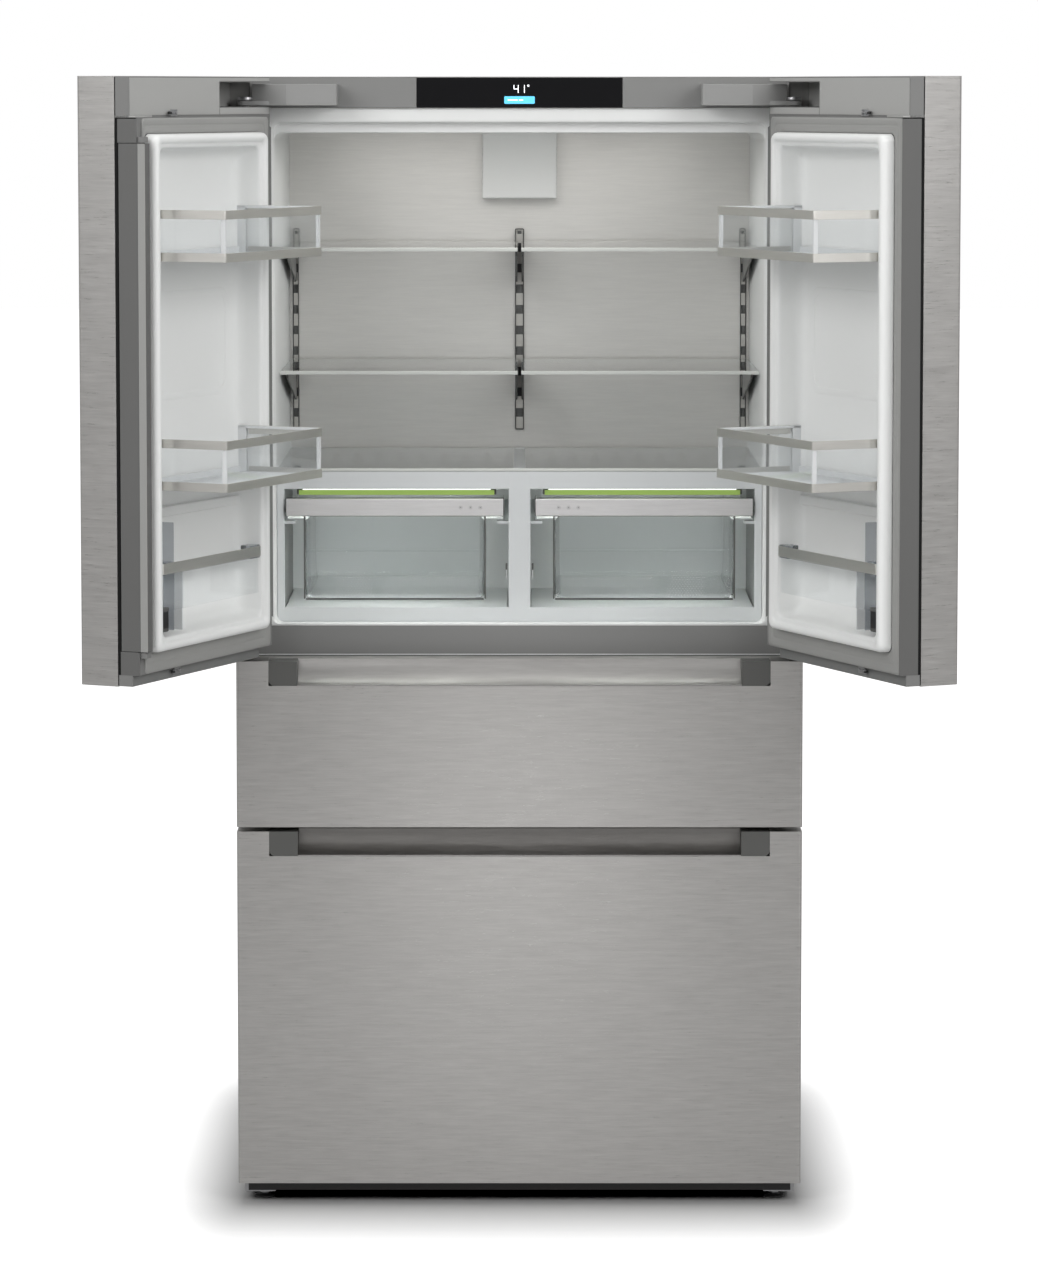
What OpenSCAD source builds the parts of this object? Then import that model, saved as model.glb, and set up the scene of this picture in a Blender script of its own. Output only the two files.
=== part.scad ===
// French door refrigerator with two lower drawers, shown with both doors standing open.
// Millimetres, +Z up, fronts face -Y, origin on the floor under the middle of the open outline.

/* [Cabinet] */
// Width over the door and drawer fronts
fridge_w = 910; // [900:1:916]
// Height from the floor to the top of the doors
fridge_h = 1820; // [1815:1:1840]
// Depth from the closed fronts to the rear panel
fridge_d = 740; // [735:1:790]
// Thickness of the sheet steel in fronts and casing
sheet_t = 1.5; // [1:0.5:2]
// Thickness of the plastic liners
liner_t = 3; // [2:0.5:3]
// Half width inside the compartments
inside_x = 398; // [396:1:399]
// Depth of the cooled space behind the closed fronts
inside_y = 600; // [596:1:602]

/* [Doors] */
// Angle that both doors stand open
door_open = 115; // [95:1:115]
// Height of the bottom edge of the doors
door_z = 889; // [888:1:890]
// Thickness of the steel fronts
front_t = 66; // [64:1:66]
// Gap on each side of the middle line between the doors
middle_gap = 2; // [2:0.5:3]
// Distance of the hinge line from the side of the door
hinge_in = 16; // [15:1:17]
// Distance of the hinge line behind the door front
hinge_back = 55; // [54:1:55]
// Radius of the hinge pins
pin_r = 6; // [5:0.5:7]
// Radial running clearance of the hinge pins
pin_clear = 0.05; // [0.02:0.01:0.1]
// Radius of the vertical edges of the fronts
edge_r = 5; // [4:1:8]
// Height of the underside of the upper door rack
rack_hi_z = 1538; // [1500:1:1560]
// Height of the underside of the middle door rack
rack_lo_z = 1188; // [1188:1:1240]
// How far the door racks stand behind the closed door front
rack_y = 229; // [200:1:232]

/* [Fresh food space] */
// Height of the top face of the upper glass shelves
shelf_hi_z = 1540; // [1500:20:1560]
// Height of the top face of the lower glass shelves
shelf_lo_z = 1337; // [1300:1:1360]
// Front edge of the glass shelves behind the closed fronts
shelf_front = 238; // [232:1:300]
// Top of the crisper unit
crisper_top = 1178; // [1170:1:1180]

/* [Drawers] */
// Bottom edge of the upper drawer front
upper_z0 = 616; // [615:1:618]
// Top edge of the upper drawer front
upper_z1 = 885; // [884:1:886]
// Bottom edge of the freezer drawer front
freezer_z0 = 34; // [33:1:36]
// Top edge of the freezer drawer front
freezer_z1 = 609; // [607:1:610]
// Width of the grip recess in a drawer front
grip_w = 806; // [760:2:820]
// Width of one plastic end block of a grip
grip_end = 46; // [36:1:56]
// Height of the grip recess
grip_h = 40; // [36:1:42]

/* [Hidden] */

$fn = 48;
half_w = fridge_w / 2;
hx = -(half_w - hinge_in);
hy = hinge_back;
// depths behind the closed fronts
cap_y = 91;          // grey caps above and below the inner door
box_y = 101;         // inner door face
gasket_y = 104;      // gasket contact plane
flange_y = 104.3;    // cabinet front flange
case_y = 97;         // front edge of the outer casing
case_x = half_w - 2; // outer casing half width
ring_x = half_w - 24;// half width of the recessed flange
box_x = half_w - 26; // half width of inner doors and drawer backs
rim_y = 124;         // crest of the door liner
top_z = fridge_h;
cap_z = top_z - 63;  // top of the inner door
box_z0 = 907;        // bottom of the inner door
fascia_z = top_z - 50;
// hinge pocket in the top cap
pock_z0 = top_z - 48;
pock_z1 = top_z - 9;
pock_x = -288;
free_x = -middle_gap - 1;
// mullion pivot, folded against the free edge
mx = -15;
my = 108.5;
mull_z0 = 944;
mull_z1 = 1718;
// open outline, front to back
tip_p = half_w - hinge_in - 3;
tip_y = hy - tip_p * sin(door_open) + (118.5 - hy) * cos(door_open);
mid_y = (tip_y + fridge_d) / 2;

module bx(x0, x1, y0, y1, z0, z1) translate([x0, y0, z0]) cube([x1 - x0, y1 - y0, z1 - z0]);
module both() { children(); mirror([1, 0, 0]) children(); }
module in_cabinet() translate([0, -mid_y, 0]) children();
module in_left_door() in_cabinet() translate([hx, hy, 0]) rotate([0, 0, -door_open]) translate([-hx, -hy, 0]) children();
module in_right_door() mirror([1, 0, 0]) in_left_door() children();
module in_right() mirror([1, 0, 0]) children();

// Plan outline of a front, rounded at both front corners
module front_plan(x0, x1, y0, r) {
  translate([x0 + r, y0]) square([x1 - x0 - 2 * r, front_t - y0]);
  translate([x0, y0 + r]) square([x1 - x0, front_t - y0 - r]);
  translate([x0 + r, y0 + r]) circle(r = r);
  translate([x1 - r, y0 + r]) circle(r = r);
}
module front_block(x0, x1, z0, z1, inset)
  translate([0, 0, z0 + inset]) linear_extrude(z1 - z0 - 2 * inset)
    front_plan(x0 + inset, x1 - inset, inset, edge_r - inset);

// ---- doors, drawn closed on the left side ----
module door_pockets() {
  bx(-half_w + 3, pock_x, 20, 120, pock_z0, pock_z1);
  bx(-half_w - 5, pock_x, 44, 120, pock_z0, pock_z0 + 11);
  bx(-half_w - 5, pock_x, 56, 120, pock_z0, pock_z1);
  bx(-half_w - 5, -410, 30, 120, door_z - 5, 905);
}
module door_skin() color([0.67, 0.66, 0.65]) difference() {
  front_block(-half_w, -middle_gap, door_z, top_z, 0);
  difference() {
    front_block(-half_w, -middle_gap, door_z, top_z, sheet_t);
  }
  bx(-half_w + sheet_t, -middle_gap - sheet_t, front_t - 1, front_t + 5, door_z + sheet_t, top_z - sheet_t);
  door_pockets();
}
module door_body(folding) color([0.5, 0.5, 0.49]) difference() {
  union() {
    front_block(-half_w, -middle_gap, door_z, top_z, sheet_t);
    bx(-half_w + sheet_t, -middle_gap - sheet_t, front_t - 2, front_t, door_z + sheet_t, top_z - sheet_t);
    bx(-half_w + 1, free_x, front_t, cap_y, door_z + 1, top_z - 1);
    bx(-box_x, free_x, front_t, box_y, box_z0, cap_z);
    if (folding) {
      for (z = [mull_z0 - 10, mull_z1 + 1]) bx(-20.5, -6, box_y - 0.5, 114, z, z + 9);
    }
  }
  door_pockets();
  // shadow groove beside the steel
  bx(free_x - 8, 0, front_t, front_t + 4, box_z0, cap_z);
  // recess behind the liner tub
  bx(-373, -49, 72, 130, 959, 1713);
  translate([hx, hy, pock_z0 - 30]) cylinder(r = pin_r + pin_clear, h = 40);
  translate([hx, hy, 895]) cylinder(r = pin_r + pin_clear, h = 36);
  if (folding) {
    bx(-21, 0, 70.5, box_y + 1, mull_z0 - 0.8, mull_z1 + 0.8);
    for (z = [mull_z0 - 11, mull_z1 - 1]) translate([mx, my, z]) cylinder(r = 2.55, h = 12);
  }
}
module door_gasket(folding) color([0.42, 0.42, 0.42]) difference() {
  bx(-box_x + 1, free_x - 1, box_y, gasket_y, box_z0 + 1, cap_z - 1);
  bx(-393, -28, box_y - 1, gasket_y + 1, 939, 1733);
  if (folding) bx(-29 + 8, 0, box_y - 1, gasket_y + 1, mull_z0 - 11, mull_z1 + 11);
}
module door_liner() color([0.9, 0.91, 0.91]) difference() {
  union() {
    bx(-393, -29, box_y, rim_y, 940, 1732);
    bx(-373, -49, 72, box_y + 1, 959, 1713);
  }
  bx(-373 + liner_t, -49 - liner_t, 72 + liner_t, rim_y + 5, 959 + liner_t, 1713 - liner_t);
  // step along the crest of the rim
  bx(-381, -41, rim_y - 6, rim_y + 1, 951, 1721);
}
// lugs that the lift-off racks hang on
module liner_lugs() color([0.9, 0.91, 0.91]) for (z = [rack_hi_z, rack_lo_z]) for (x = [-371, -62])
  bx(x, x + 11, 84, 104, z - 9, z - 0.3);
module door_rack(z) {
  // floor, side frames and rear bar of one lift-off rack
  bx(-368, -56, 79, rack_y - 2, z + 3, z + 6);
  for (x = [-368, -60]) {
    bx(x, x + 4, 79, rack_y - 2, z, z + 14);
    bx(x, x + 4, 79, rack_y - 2, z + 65, z + 79);
    bx(x, x + 4, 79, 93, z, z + 79);
    bx(x, x + 4, rack_y - 10, rack_y - 2, z, z + 79);
  }
  bx(-368, -56, 79, 83, z, z + 14);
}
module door_racks() color([0.86, 0.87, 0.87]) for (z = [rack_hi_z, rack_lo_z]) door_rack(z);
module rack_rails() color([0.66, 0.65, 0.62]) {
  for (z = [rack_hi_z, rack_lo_z]) for (dz = [0, 65]) bx(-370, -54, rack_y - 2, rack_y, z + dz, z + dz + 14);
  bx(-373 + liner_t + 0.2, -49 - liner_t - 0.2, rim_y - 9.2, rim_y - 6.2, 1058, 1075);
}
// small sprung latch arm with its roller, top and bottom of the inner door
module door_catches() color([0.35, 0.35, 0.35]) for (z = [cap_z, box_z0 - 13]) {
  bx(-150, -132, cap_y, cap_y + 4, z + 1, z + 12);
  bx(-134, -122, cap_y, cap_y + 9, z + 4, z + 9);
  translate([-118, cap_y + 6.5, z + 2]) cylinder(r = 3.4, h = 9);
  bx(-122.5, -117, cap_y + 5, cap_y + 8, z + 5, z + 8);
}
// folding centre bar, drawn folded
module mullion_bar() color([0.45, 0.45, 0.45]) {
  bx(mx - 2.4, mx + 12, 72, 118.5, mull_z0, mull_z1);
  translate([mx, my, mull_z0]) cylinder(r = 4, h = mull_z1 - mull_z0);
  translate([mx, my, mull_z0 - 8]) cylinder(r = 2.5, h = mull_z1 - mull_z0 + 16);
  bx(mx, mx + 12, my - 4, my + 8, mull_z0, mull_z1);
}

// ---- hinges on the cabinet ----
module top_hinge() {
  translate([0, 0, pock_z0 + 2]) linear_extrude(34) difference() {
    polygon([[-292, case_y], [-292, 26], [-372, 26], [-428, 52], [-428, case_y]]);
    translate([-332, 60]) circle(r = 4);
  }
  translate([0, 0, pock_z0 + 2]) linear_extrude(7) {
    translate([hx, hy]) circle(r = 13);
    polygon([[hx, hy - 13], [-400, 39], [-400, 80], [hx, hy + 13]]);
  }
  translate([hx, hy, pock_z0 - 28]) cylinder(r = pin_r, h = 44);
}
module bottom_hinge() {
  translate([0, 0, 893]) linear_extrude(6) {
    translate([hx, hy]) circle(r = 12.5);
    polygon([[hx - 12.5, hy], [hx - 12.5, case_y], [hx + 8, case_y], [hx + 12.5, hy]]);
  }
  bx(-452, -432, 95, case_y, 872, 925);
  translate([hx, hy, 893]) cylinder(r = pin_r, h = 34);
}

// ---- cabinet shells ----
module outer_casing() color([0.55, 0.55, 0.55]) {
  both() {
    bx(case_x - sheet_t, case_x, case_y, fridge_d, 34, top_z);
    bx(ring_x, case_x, case_y, case_y + sheet_t, 34, top_z);
    bx(ring_x, ring_x + sheet_t, case_y, flange_y + liner_t, 34, top_z);
  }
  bx(-case_x, case_x, case_y + 30, fridge_d, top_z - sheet_t, top_z);
  bx(-case_x, case_x, case_y, case_y + 31, top_z - sheet_t, top_z);
}
module rear_panel() color([0.6, 0.6, 0.6]) difference() {
  bx(-case_x + sheet_t, case_x - sheet_t, fridge_d - 2, fridge_d, 247, top_z - sheet_t);
  for (x = [-300 : 150 : 300]) bx(x - 4, x + 4, fridge_d - 0.8, fridge_d + 1, 330, 1740);
}
module liner_void(x, z0, z1, y1) bx(-x, x, flange_y + liner_t, y1, z0, z1);
module insulation() color([0.93, 0.86, 0.6]) difference() {
  bx(-case_x + sheet_t, case_x - sheet_t, flange_y + liner_t, fridge_d - 2, 38, top_z - sheet_t);
  bx(-500, 500, 90, 126, fascia_z, top_z + 1);
  bx(-ring_x - sheet_t, ring_x + sheet_t, 90, 107.31, 0, top_z);
  bx(-inside_x - liner_t, inside_x + liner_t, 90, rim_y + 6, 927, 1749);
  bx(-inside_x - liner_t, inside_x + liner_t, 90, inside_y + liner_t, 927, 1732);
  bx(-ring_x, ring_x, 90, 122, 884.2, 886.2);
  bx(-ring_x, ring_x, 90, 122, 924.5, 926.7);
  bx(-inside_x - liner_t, inside_x + liner_t, 90, inside_y + liner_t, 631, 871);
  bx(-inside_x - liner_t, inside_x + liner_t, 90, inside_y + liner_t, 260, 599);
  bx(-inside_x - liner_t, inside_x + liner_t, 90, 503, 59, 300);
  bx(-500, 500, 515, 800, 0, 247);
  // evaporator and fan space
  bx(-220, 220, inside_y - 5, inside_y + 62, 1140, 1700);
}
module fridge_liner() color([0.88, 0.89, 0.89]) difference() {
  union() {
    bx(-ring_x, ring_x, flange_y, flange_y + liner_t, 930, fascia_z);
    bx(-inside_x - liner_t, inside_x + liner_t, flange_y + liner_t, rim_y + 6, 927, 1749);
    bx(-inside_x - liner_t, inside_x + liner_t, rim_y + 5, inside_y + liner_t, 927, 1732);
  }
  bx(-inside_x, inside_x, 90, rim_y + 3, 930, 1746);
  bx(-inside_x, inside_x, rim_y + 2, inside_y, 930, 1729);
  // air openings into the evaporator space
  bx(-50, 50, inside_y - 5, inside_y + 10, 1620, 1690);
  bx(-150, 150, inside_y - 5, inside_y + 10, 1147, 1162);
}
module drawer_liners() color([0.86, 0.87, 0.87]) {
  difference() {
    union() {
      bx(-ring_x, ring_x, flange_y, flange_y + liner_t, 610.5, 884);
      bx(-inside_x - liner_t, inside_x + liner_t, flange_y + 1, inside_y + liner_t, 631, 871);
    }
    bx(-inside_x, inside_x, 90, inside_y, 634, 868);
  }
  difference() {
    union() {
      bx(-ring_x, ring_x, flange_y, flange_y + liner_t, 38, 609.5);
      bx(-inside_x - liner_t, inside_x + liner_t, flange_y + 1, inside_y + liner_t, 260, 599);
      bx(-inside_x - liner_t, inside_x + liner_t, flange_y + 1, 503, 59, 262);
    }
    bx(-inside_x, inside_x, 90, inside_y, 263, 596);
    bx(-inside_x, inside_x, 90, 500, 62, 270);
  }
}
module top_fascia() color([0.5, 0.5, 0.5]) difference() {
  bx(-ring_x, ring_x, case_y, 126, fascia_z, top_z - sheet_t);
  bx(-ring_x + 3, ring_x - 3, case_y + 11, 130, fascia_z + 3, top_z - sheet_t - 3);
  bx(-166, 166, case_y - 1, case_y + 5, fascia_z - 1, top_z);
}
module control_panel() color([0.05, 0.05, 0.06]) bx(-165.6, 165.6, case_y - 0.5, case_y + 5, fascia_z + 0.3, top_z - sheet_t);
module mid_fascia() color([0.48, 0.48, 0.48]) {
  bx(-ring_x, ring_x, flange_y, flange_y + liner_t, 884.2, 930);
  // stiffening returns, set into the foam
  bx(-ring_x + 40, ring_x - 40, flange_y + 2, 122, 884.2, 886.2);
  bx(-ring_x + 40, ring_x - 40, flange_y + 2, 122, 924.5, 926.7);
}

// ---- fresh food fittings ----
module back_wall() color([0.68, 0.67, 0.65]) difference() {
  bx(-inside_x + 2, inside_x - 2, inside_y - 3, inside_y - 0.5, 932, 1727);
  bx(-50, 50, inside_y - 9, inside_y + 9, 1620, 1690);
  for (x = [-140 : 20 : 140]) bx(x - 6, x + 6, inside_y - 9, inside_y + 9, 1150, 1159);
}
module duct_box() color([0.92, 0.92, 0.92]) difference() {
  bx(-64, 64, inside_y - 43, inside_y - 3.2, 1613, 1728.5);
  bx(-60, 60, inside_y - 39, inside_y, 1617, 1724);
  for (s = [-1, 1]) for (z = [1640 : 14 : 1696]) bx(s * 62 - 4, s * 62 + 4, inside_y - 30, inside_y - 12, z, z + 6);
}
module shelf_rails() color([0.3, 0.3, 0.3]) for (x = [-385.5, 0, 385.5]) difference() {
  bx(x - (x == 0 ? 8 : 5.5), x + (x == 0 ? 8 : 5.5), inside_y - 11, inside_y - 3.2, 1205, 1566);
  for (z = [1225 : 40 : 1545]) bx(x - 2.2, x + 2.2, inside_y - 15, inside_y - 6, z, z + 20);
}
// cantilever brackets hooked into the rails under each half shelf
module shelf_brackets() color([0.25, 0.25, 0.26]) for (z = [shelf_hi_z, shelf_lo_z]) for (x = [-385.5, -5, 5, 385.5])
  translate([x - 1.5, 0, 0]) rotate([90, 0, 90]) linear_extrude(3)
    polygon([[inside_y - 11.2, z - 6.2], [inside_y - 11.2, z - 70], [inside_y - 24, z - 70], [shelf_front + 60, z - 16], [shelf_front + 60, z - 6.2]]);
module glass_shelves() color([0.8, 0.86, 0.85, 0.5]) both() for (z = [shelf_hi_z, shelf_lo_z])
  bx(2.5, inside_x - 3, shelf_front, inside_y - 12, z - 6, z);
module crisper_frame() color([0.87, 0.88, 0.88]) {
  difference() {
    bx(-inside_x + 1.5, inside_x - 1.5, 150, 162, 930.3, crisper_top);
    both() bx(18, 384, 140, 170, 955, crisper_top - 29);
  }
  // divider, side panels and the ledges the bins run on
  bx(-6, 6, 161, 580, 930.3, crisper_top);
  both() {
    bx(inside_x - 7, inside_x - 1.5, 161, 580, 930.3, crisper_top);
    bx(367, inside_x - 6, 161, 560, 1091, 1096);
    bx(5, 37, 161, 560, 1091, 1096);
  }
  bx(-inside_x + 1.5, inside_x - 1.5, 570, 580, 930.3, crisper_top);
}
module crisper_cover() color([0.8, 0.86, 0.85, 0.5]) bx(-inside_x + 2, inside_x - 2, 150, 588, crisper_top + 0.2, crisper_top + 5.2);
module crisper_lamps() color([0.97, 1, 0.93]) both() bx(40, 362, 163, 175, 1146, crisper_top - 0.3);
module slide_rails() color([0.55, 0.55, 0.57]) both() {
  for (z = [735, 450]) difference() {
    bx(386, inside_x - 0.3, 115, z == 735 ? 580 : 560, z, z + 44);
    bx(380, 394, 100, 600, z + 8, z + 36);
  }
}

// ---- base and machine bay ----
module plinth() color([0.12, 0.12, 0.12]) bx(-440, 440, 24, 28, 17, 32);
module base_frame() color([0.3, 0.3, 0.3]) difference() {
  union() {
    both() {
      bx(396, 446, 28, 736, 14, 31.8);
      bx(428, 446, 670, 710, 5, 30);
      bx(362, 372, 676, 704, 5, 34);
    }
    bx(-446, 446, 28, 62, 22, 31.8);
    bx(-446, 446, 107.6, 736, 31.8, 37.8);
    bx(-400, 400, 712, 736, 20, 33.8);
  }
  both() {
    bx(400, 442, 100, 660, 0, 29);
    bx(374, 426, 670, 710, 0, 31.79);
    translate([415, 55, 0]) cylinder(r = 5.2, h = 60);
  }
  translate([-460, 690, 15]) rotate([0, 90, 0]) cylinder(r = 4.05, h = 920);
}
module feet() color([0.6, 0.6, 0.6]) both() translate([415, 55, 0]) {
  cylinder(r = 17, h = 3);
  cylinder(r = 9, h = 7);
  cylinder(r = 5, h = 31);
  translate([0, 0, 7]) cylinder(r = 8.5, h = 5, $fn = 6);
}
module rear_rollers() color([0.2, 0.2, 0.2]) translate([0, 690, 15]) rotate([0, 90, 0]) {
  translate([0, 0, -440]) cylinder(r = 4, h = 880);
  for (x = [-412, 388]) translate([0, 0, x]) cylinder(r = 15, h = 24);
}
module compressor() color([0.1, 0.1, 0.1]) translate([235, 630, 38]) {
  bx(-95, 95, -75, 75, 0, 3);
  for (x = [-75, 75]) for (y = [-55, 55]) translate([x, y, 3]) cylinder(r = 12, h = 14);
  bx(-90, 90, -68, 68, 16, 20);
  translate([0, 0, 19]) cylinder(r = 68, h = 95);
  translate([0, 0, 113]) intersection() {
    scale([1, 1, 1]) sphere(r = 68);
    cylinder(r = 80, h = 60);
  }
  bx(60, 92, -25, 25, 40, 90);
  translate([-30, 0, 150]) cylinder(r = 4, h = 40);
}
module condenser() color([0.25, 0.25, 0.25]) {
  // finned block with its bends, and the bracket that carries the fan shaft
  for (x = [-390 : 12 : -210]) bx(x, x + 2, 560, 700, 50, 210);
  for (z = [66 : 32 : 194]) for (y = [585, 630, 675]) translate([-398, y, z]) rotate([0, 90, 0]) cylinder(r = 4, h = 198);
  for (y = [562, 696]) bx(-390, -60, y, y + 3, 38, 44);
  bx(-62, -58, 562, 699, 38, 210);
  translate([-130, 630, 125]) rotate([0, 90, 0]) cylinder(r = 3, h = 72);
  translate([-92, 630, 125]) rotate([0, 90, 0]) cylinder(r = 26, h = 34);
}
module fan_rotor(r, w) {
  difference() {
    cylinder(r = r * 0.28, h = w);
    translate([0, 0, -1]) cylinder(r = 3.05, h = w + 2);
  }
  for (a = [0 : 60 : 300]) rotate([0, 0, a]) translate([r * 0.25, -1, w / 2]) rotate([35, 0, 0])
    translate([0, -r * 0.22, -1]) cube([r * 0.72, r * 0.44, 2]);
}
module condenser_fan() color([0.15, 0.15, 0.15]) translate([-118, 630, 125]) rotate([0, 90, 0]) fan_rotor(64, 22);
module evaporator() color([0.75, 0.76, 0.78]) {
  for (x = [-200 : 12 : 196]) bx(x, x + 1.5, inside_y + 8, inside_y + 54, 1215, 1520);
  for (z = [1235 : 50 : 1500]) for (y = [inside_y + 20, inside_y + 42]) translate([-212, y, z]) rotate([0, 90, 0]) cylinder(r = 4, h = 424);
  // fan bracket and shaft above the coil
  bx(-70, 70, inside_y + 50, inside_y + 54, 1520, 1640);
  translate([0, inside_y + 51, 1585]) rotate([90, 0, 0]) cylinder(r = 22, h = 12);
  translate([0, inside_y + 51, 1585]) rotate([90, 0, 0]) cylinder(r = 3, h = 36);
}
module evaporator_fan() color([0.2, 0.2, 0.2]) translate([0, inside_y + 36, 1585]) rotate([90, 0, 0]) fan_rotor(48, 16);
module bay_cover() color([0.35, 0.35, 0.35]) difference() {
  bx(-case_x + 8, case_x - 8, fridge_d - 2, fridge_d, 42, 245);
  for (x = [-380 : 30 : 250]) for (z = [70, 150]) bx(x, x + 12, fridge_d - 5, fridge_d + 5, z, z + 60);
  bx(310, 362, fridge_d - 5, fridge_d + 5, 95, 135);
}
module power_inlet() color([0.08, 0.08, 0.08]) difference() {
  bx(310.5, 361.5, fridge_d - 24, fridge_d, 95.5, 134.5);
  bx(319, 353, fridge_d - 17, fridge_d + 1, 102, 128);
}

// ---- drawers ----
module grip_space(z1) bx(-grip_w / 2, grip_w / 2, -1, grip_h + 4, z1 - grip_h, z1 + 1);
module drawer_skin(z0, z1) color([0.67, 0.66, 0.65]) difference() {
  front_block(-half_w, half_w, z0, z1, 0);
  front_block(-half_w, half_w, z0, z1, sheet_t);
  bx(-half_w + sheet_t, half_w - sheet_t, front_t - 1, front_t + 5, z0 + sheet_t, z1 - sheet_t);
  grip_space(z1);
}
module drawer_body(z0, z1) color([0.32, 0.33, 0.32]) difference() {
  union() {
    front_block(-half_w, half_w, z0, z1, sheet_t);
    bx(-half_w + sheet_t, half_w - sheet_t, front_t - 2, front_t, z0 + sheet_t, z1 - sheet_t);
    bx(-box_x, box_x, front_t, box_y, z0 + 2, z1 - 2);
    // end blocks of the grip, flush with the steel, with a rounded lower outer corner
    both() intersection() {
      bx(grip_w / 2 - grip_end, grip_w / 2, 0.2, grip_h + 4, z1 - grip_h, z1 - 0.5);
      union() {
        bx(0, grip_w / 2 - 10, 0, 80, z1 - grip_h, z1);
        bx(0, grip_w / 2, 0, 80, z1 - grip_h + 10, z1);
        translate([grip_w / 2 - 10, 0, z1 - grip_h + 10]) rotate([-90, 0, 0]) cylinder(r = 10, h = 80);
      }
    }
  }
  bx(-grip_w / 2 + grip_end, grip_w / 2 - grip_end, -1, grip_h + 4, z1 - grip_h, z1 + 1);
  // slot between the end block and the steel follows the rounded corner
  both() difference() {
    bx(grip_w / 2 - 10, grip_w / 2, -1, grip_h + 4, z1 - grip_h - 0.01, z1 - grip_h + 10);
    translate([grip_w / 2 - 10, -2, z1 - grip_h + 10]) rotate([-90, 0, 0]) cylinder(r = 10, h = 80);
  }
}
module drawer_grip(z1) color([0.7, 0.69, 0.67]) difference() {
  bx(-grip_w / 2 + grip_end + 0.2, grip_w / 2 - grip_end - 0.2, 0, grip_h + 3.8, z1 - grip_h + 0.2, z1 - 0.5);
  translate([-500, -8, z1 + 8]) rotate([0, 90, 0]) cylinder(r = sqrt(64 + (grip_h + 6) * (grip_h + 6)), h = 1000, $fn = 96);
}
module drawer_gasket(z0, z1) color([0.42, 0.42, 0.42]) difference() {
  bx(-box_x + 1, box_x - 1, box_y, gasket_y, z0 + 3, z1 - 3);
  bx(-box_x + 30, box_x - 30, box_y - 1, gasket_y + 1, z0 + 24, z1 - 24);
}
module drawer_bin(z0, z1, y1, z_rail) color([0.85, 0.87, 0.88]) {
  difference() {
    bx(-374, 374, box_y, y1, z0, z1);
    bx(-370, 370, box_y + 4, y1 - 4, z0 + 4, z1 + 1);
  }
  both() {
    bx(373.5, 384, box_y + 20, y1, z_rail, z_rail + 22);
    bx(383, 393, box_y + 20, y1, z_rail + 4, z_rail + 18);
  }
}

// ---- crisper bins, drawn on the left ----
module crisper_bin() color([0.85, 0.89, 0.9, 0.5]) {
  difference() {
    union() {
      bx(-353, -55, 160, 540, 965, 1105);
      bx(-382, -25, 166, 540, 1097, 1105);
    }
    bx(-350, -58, 163, 537, 968, 1106);
  }
}
module crisper_handle() color([0.72, 0.7, 0.7]) difference() {
  bx(-382, -25, 143, 165.8, 1105.3, 1134);
  bx(-378, -29, 148, 166.5, 1104, 1129);
}

in_cabinet() outer_casing();
in_cabinet() rear_panel();
in_cabinet() insulation();
in_cabinet() fridge_liner();
in_cabinet() drawer_liners();
in_cabinet() top_fascia();
in_cabinet() control_panel();
in_cabinet() mid_fascia();
in_cabinet() color([0.45, 0.45, 0.45]) both() top_hinge();  // top_hinges
in_cabinet() color([0.4, 0.4, 0.4]) both() bottom_hinge();  // bottom_hinges
in_cabinet() back_wall();
in_cabinet() duct_box();
in_cabinet() shelf_rails();
in_cabinet() shelf_brackets();
in_cabinet() glass_shelves();
in_cabinet() crisper_frame();
in_cabinet() crisper_cover();
in_cabinet() crisper_lamps();
in_cabinet() plinth();
in_cabinet() base_frame();
in_cabinet() feet();
in_cabinet() rear_rollers();
in_cabinet() compressor();
in_cabinet() condenser();
in_cabinet() condenser_fan();
in_cabinet() evaporator();
in_cabinet() evaporator_fan();
in_cabinet() bay_cover();
in_cabinet() power_inlet();
in_cabinet() slide_rails();
in_left_door() door_skin();  // left_door_skin
in_left_door() door_body(true);  // left_door_body
in_left_door() door_gasket(true);  // left_door_gasket
in_left_door() { door_liner(); liner_lugs(); }  // left_door_liner
in_left_door() door_racks();  // left_door_racks
in_left_door() rack_rails();  // left_rack_rails
in_left_door() door_catches();  // left_door_catches
in_left_door() mullion_bar();  // mullion
in_right_door() door_skin();  // right_door_skin
in_right_door() door_body(false);  // right_door_body
in_right_door() door_gasket(false);  // right_door_gasket
in_right_door() { door_liner(); liner_lugs(); }  // right_door_liner
in_right_door() door_racks();  // right_door_racks
in_right_door() rack_rails();  // right_rack_rails
in_right_door() door_catches();  // right_door_catches
in_cabinet() drawer_skin(upper_z0, upper_z1);  // upper_drawer_skin
in_cabinet() drawer_body(upper_z0, upper_z1);  // upper_drawer_body
in_cabinet() drawer_grip(upper_z1);  // upper_drawer_grip
in_cabinet() drawer_gasket(upper_z0, upper_z1);  // upper_drawer_gasket
in_cabinet() drawer_bin(644, 842, 560, 746);  // upper_drawer_bin
in_cabinet() drawer_skin(freezer_z0, freezer_z1);  // freezer_drawer_skin
in_cabinet() drawer_body(freezer_z0, freezer_z1);  // freezer_drawer_body
in_cabinet() drawer_grip(freezer_z1);  // freezer_drawer_grip
in_cabinet() drawer_gasket(freezer_z0, freezer_z1);  // freezer_drawer_gasket
in_cabinet() drawer_bin(70, 520, 490, 461);  // freezer_drawer_bin
in_cabinet() crisper_bin();  // left_crisper_bin
in_cabinet() crisper_handle();  // left_crisper_handle
in_cabinet() in_right() crisper_bin();  // right_crisper_bin
in_cabinet() in_right() crisper_handle();  // right_crisper_handle
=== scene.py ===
import bpy, bmesh, math
from mathutils import Matrix, Vector


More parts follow.
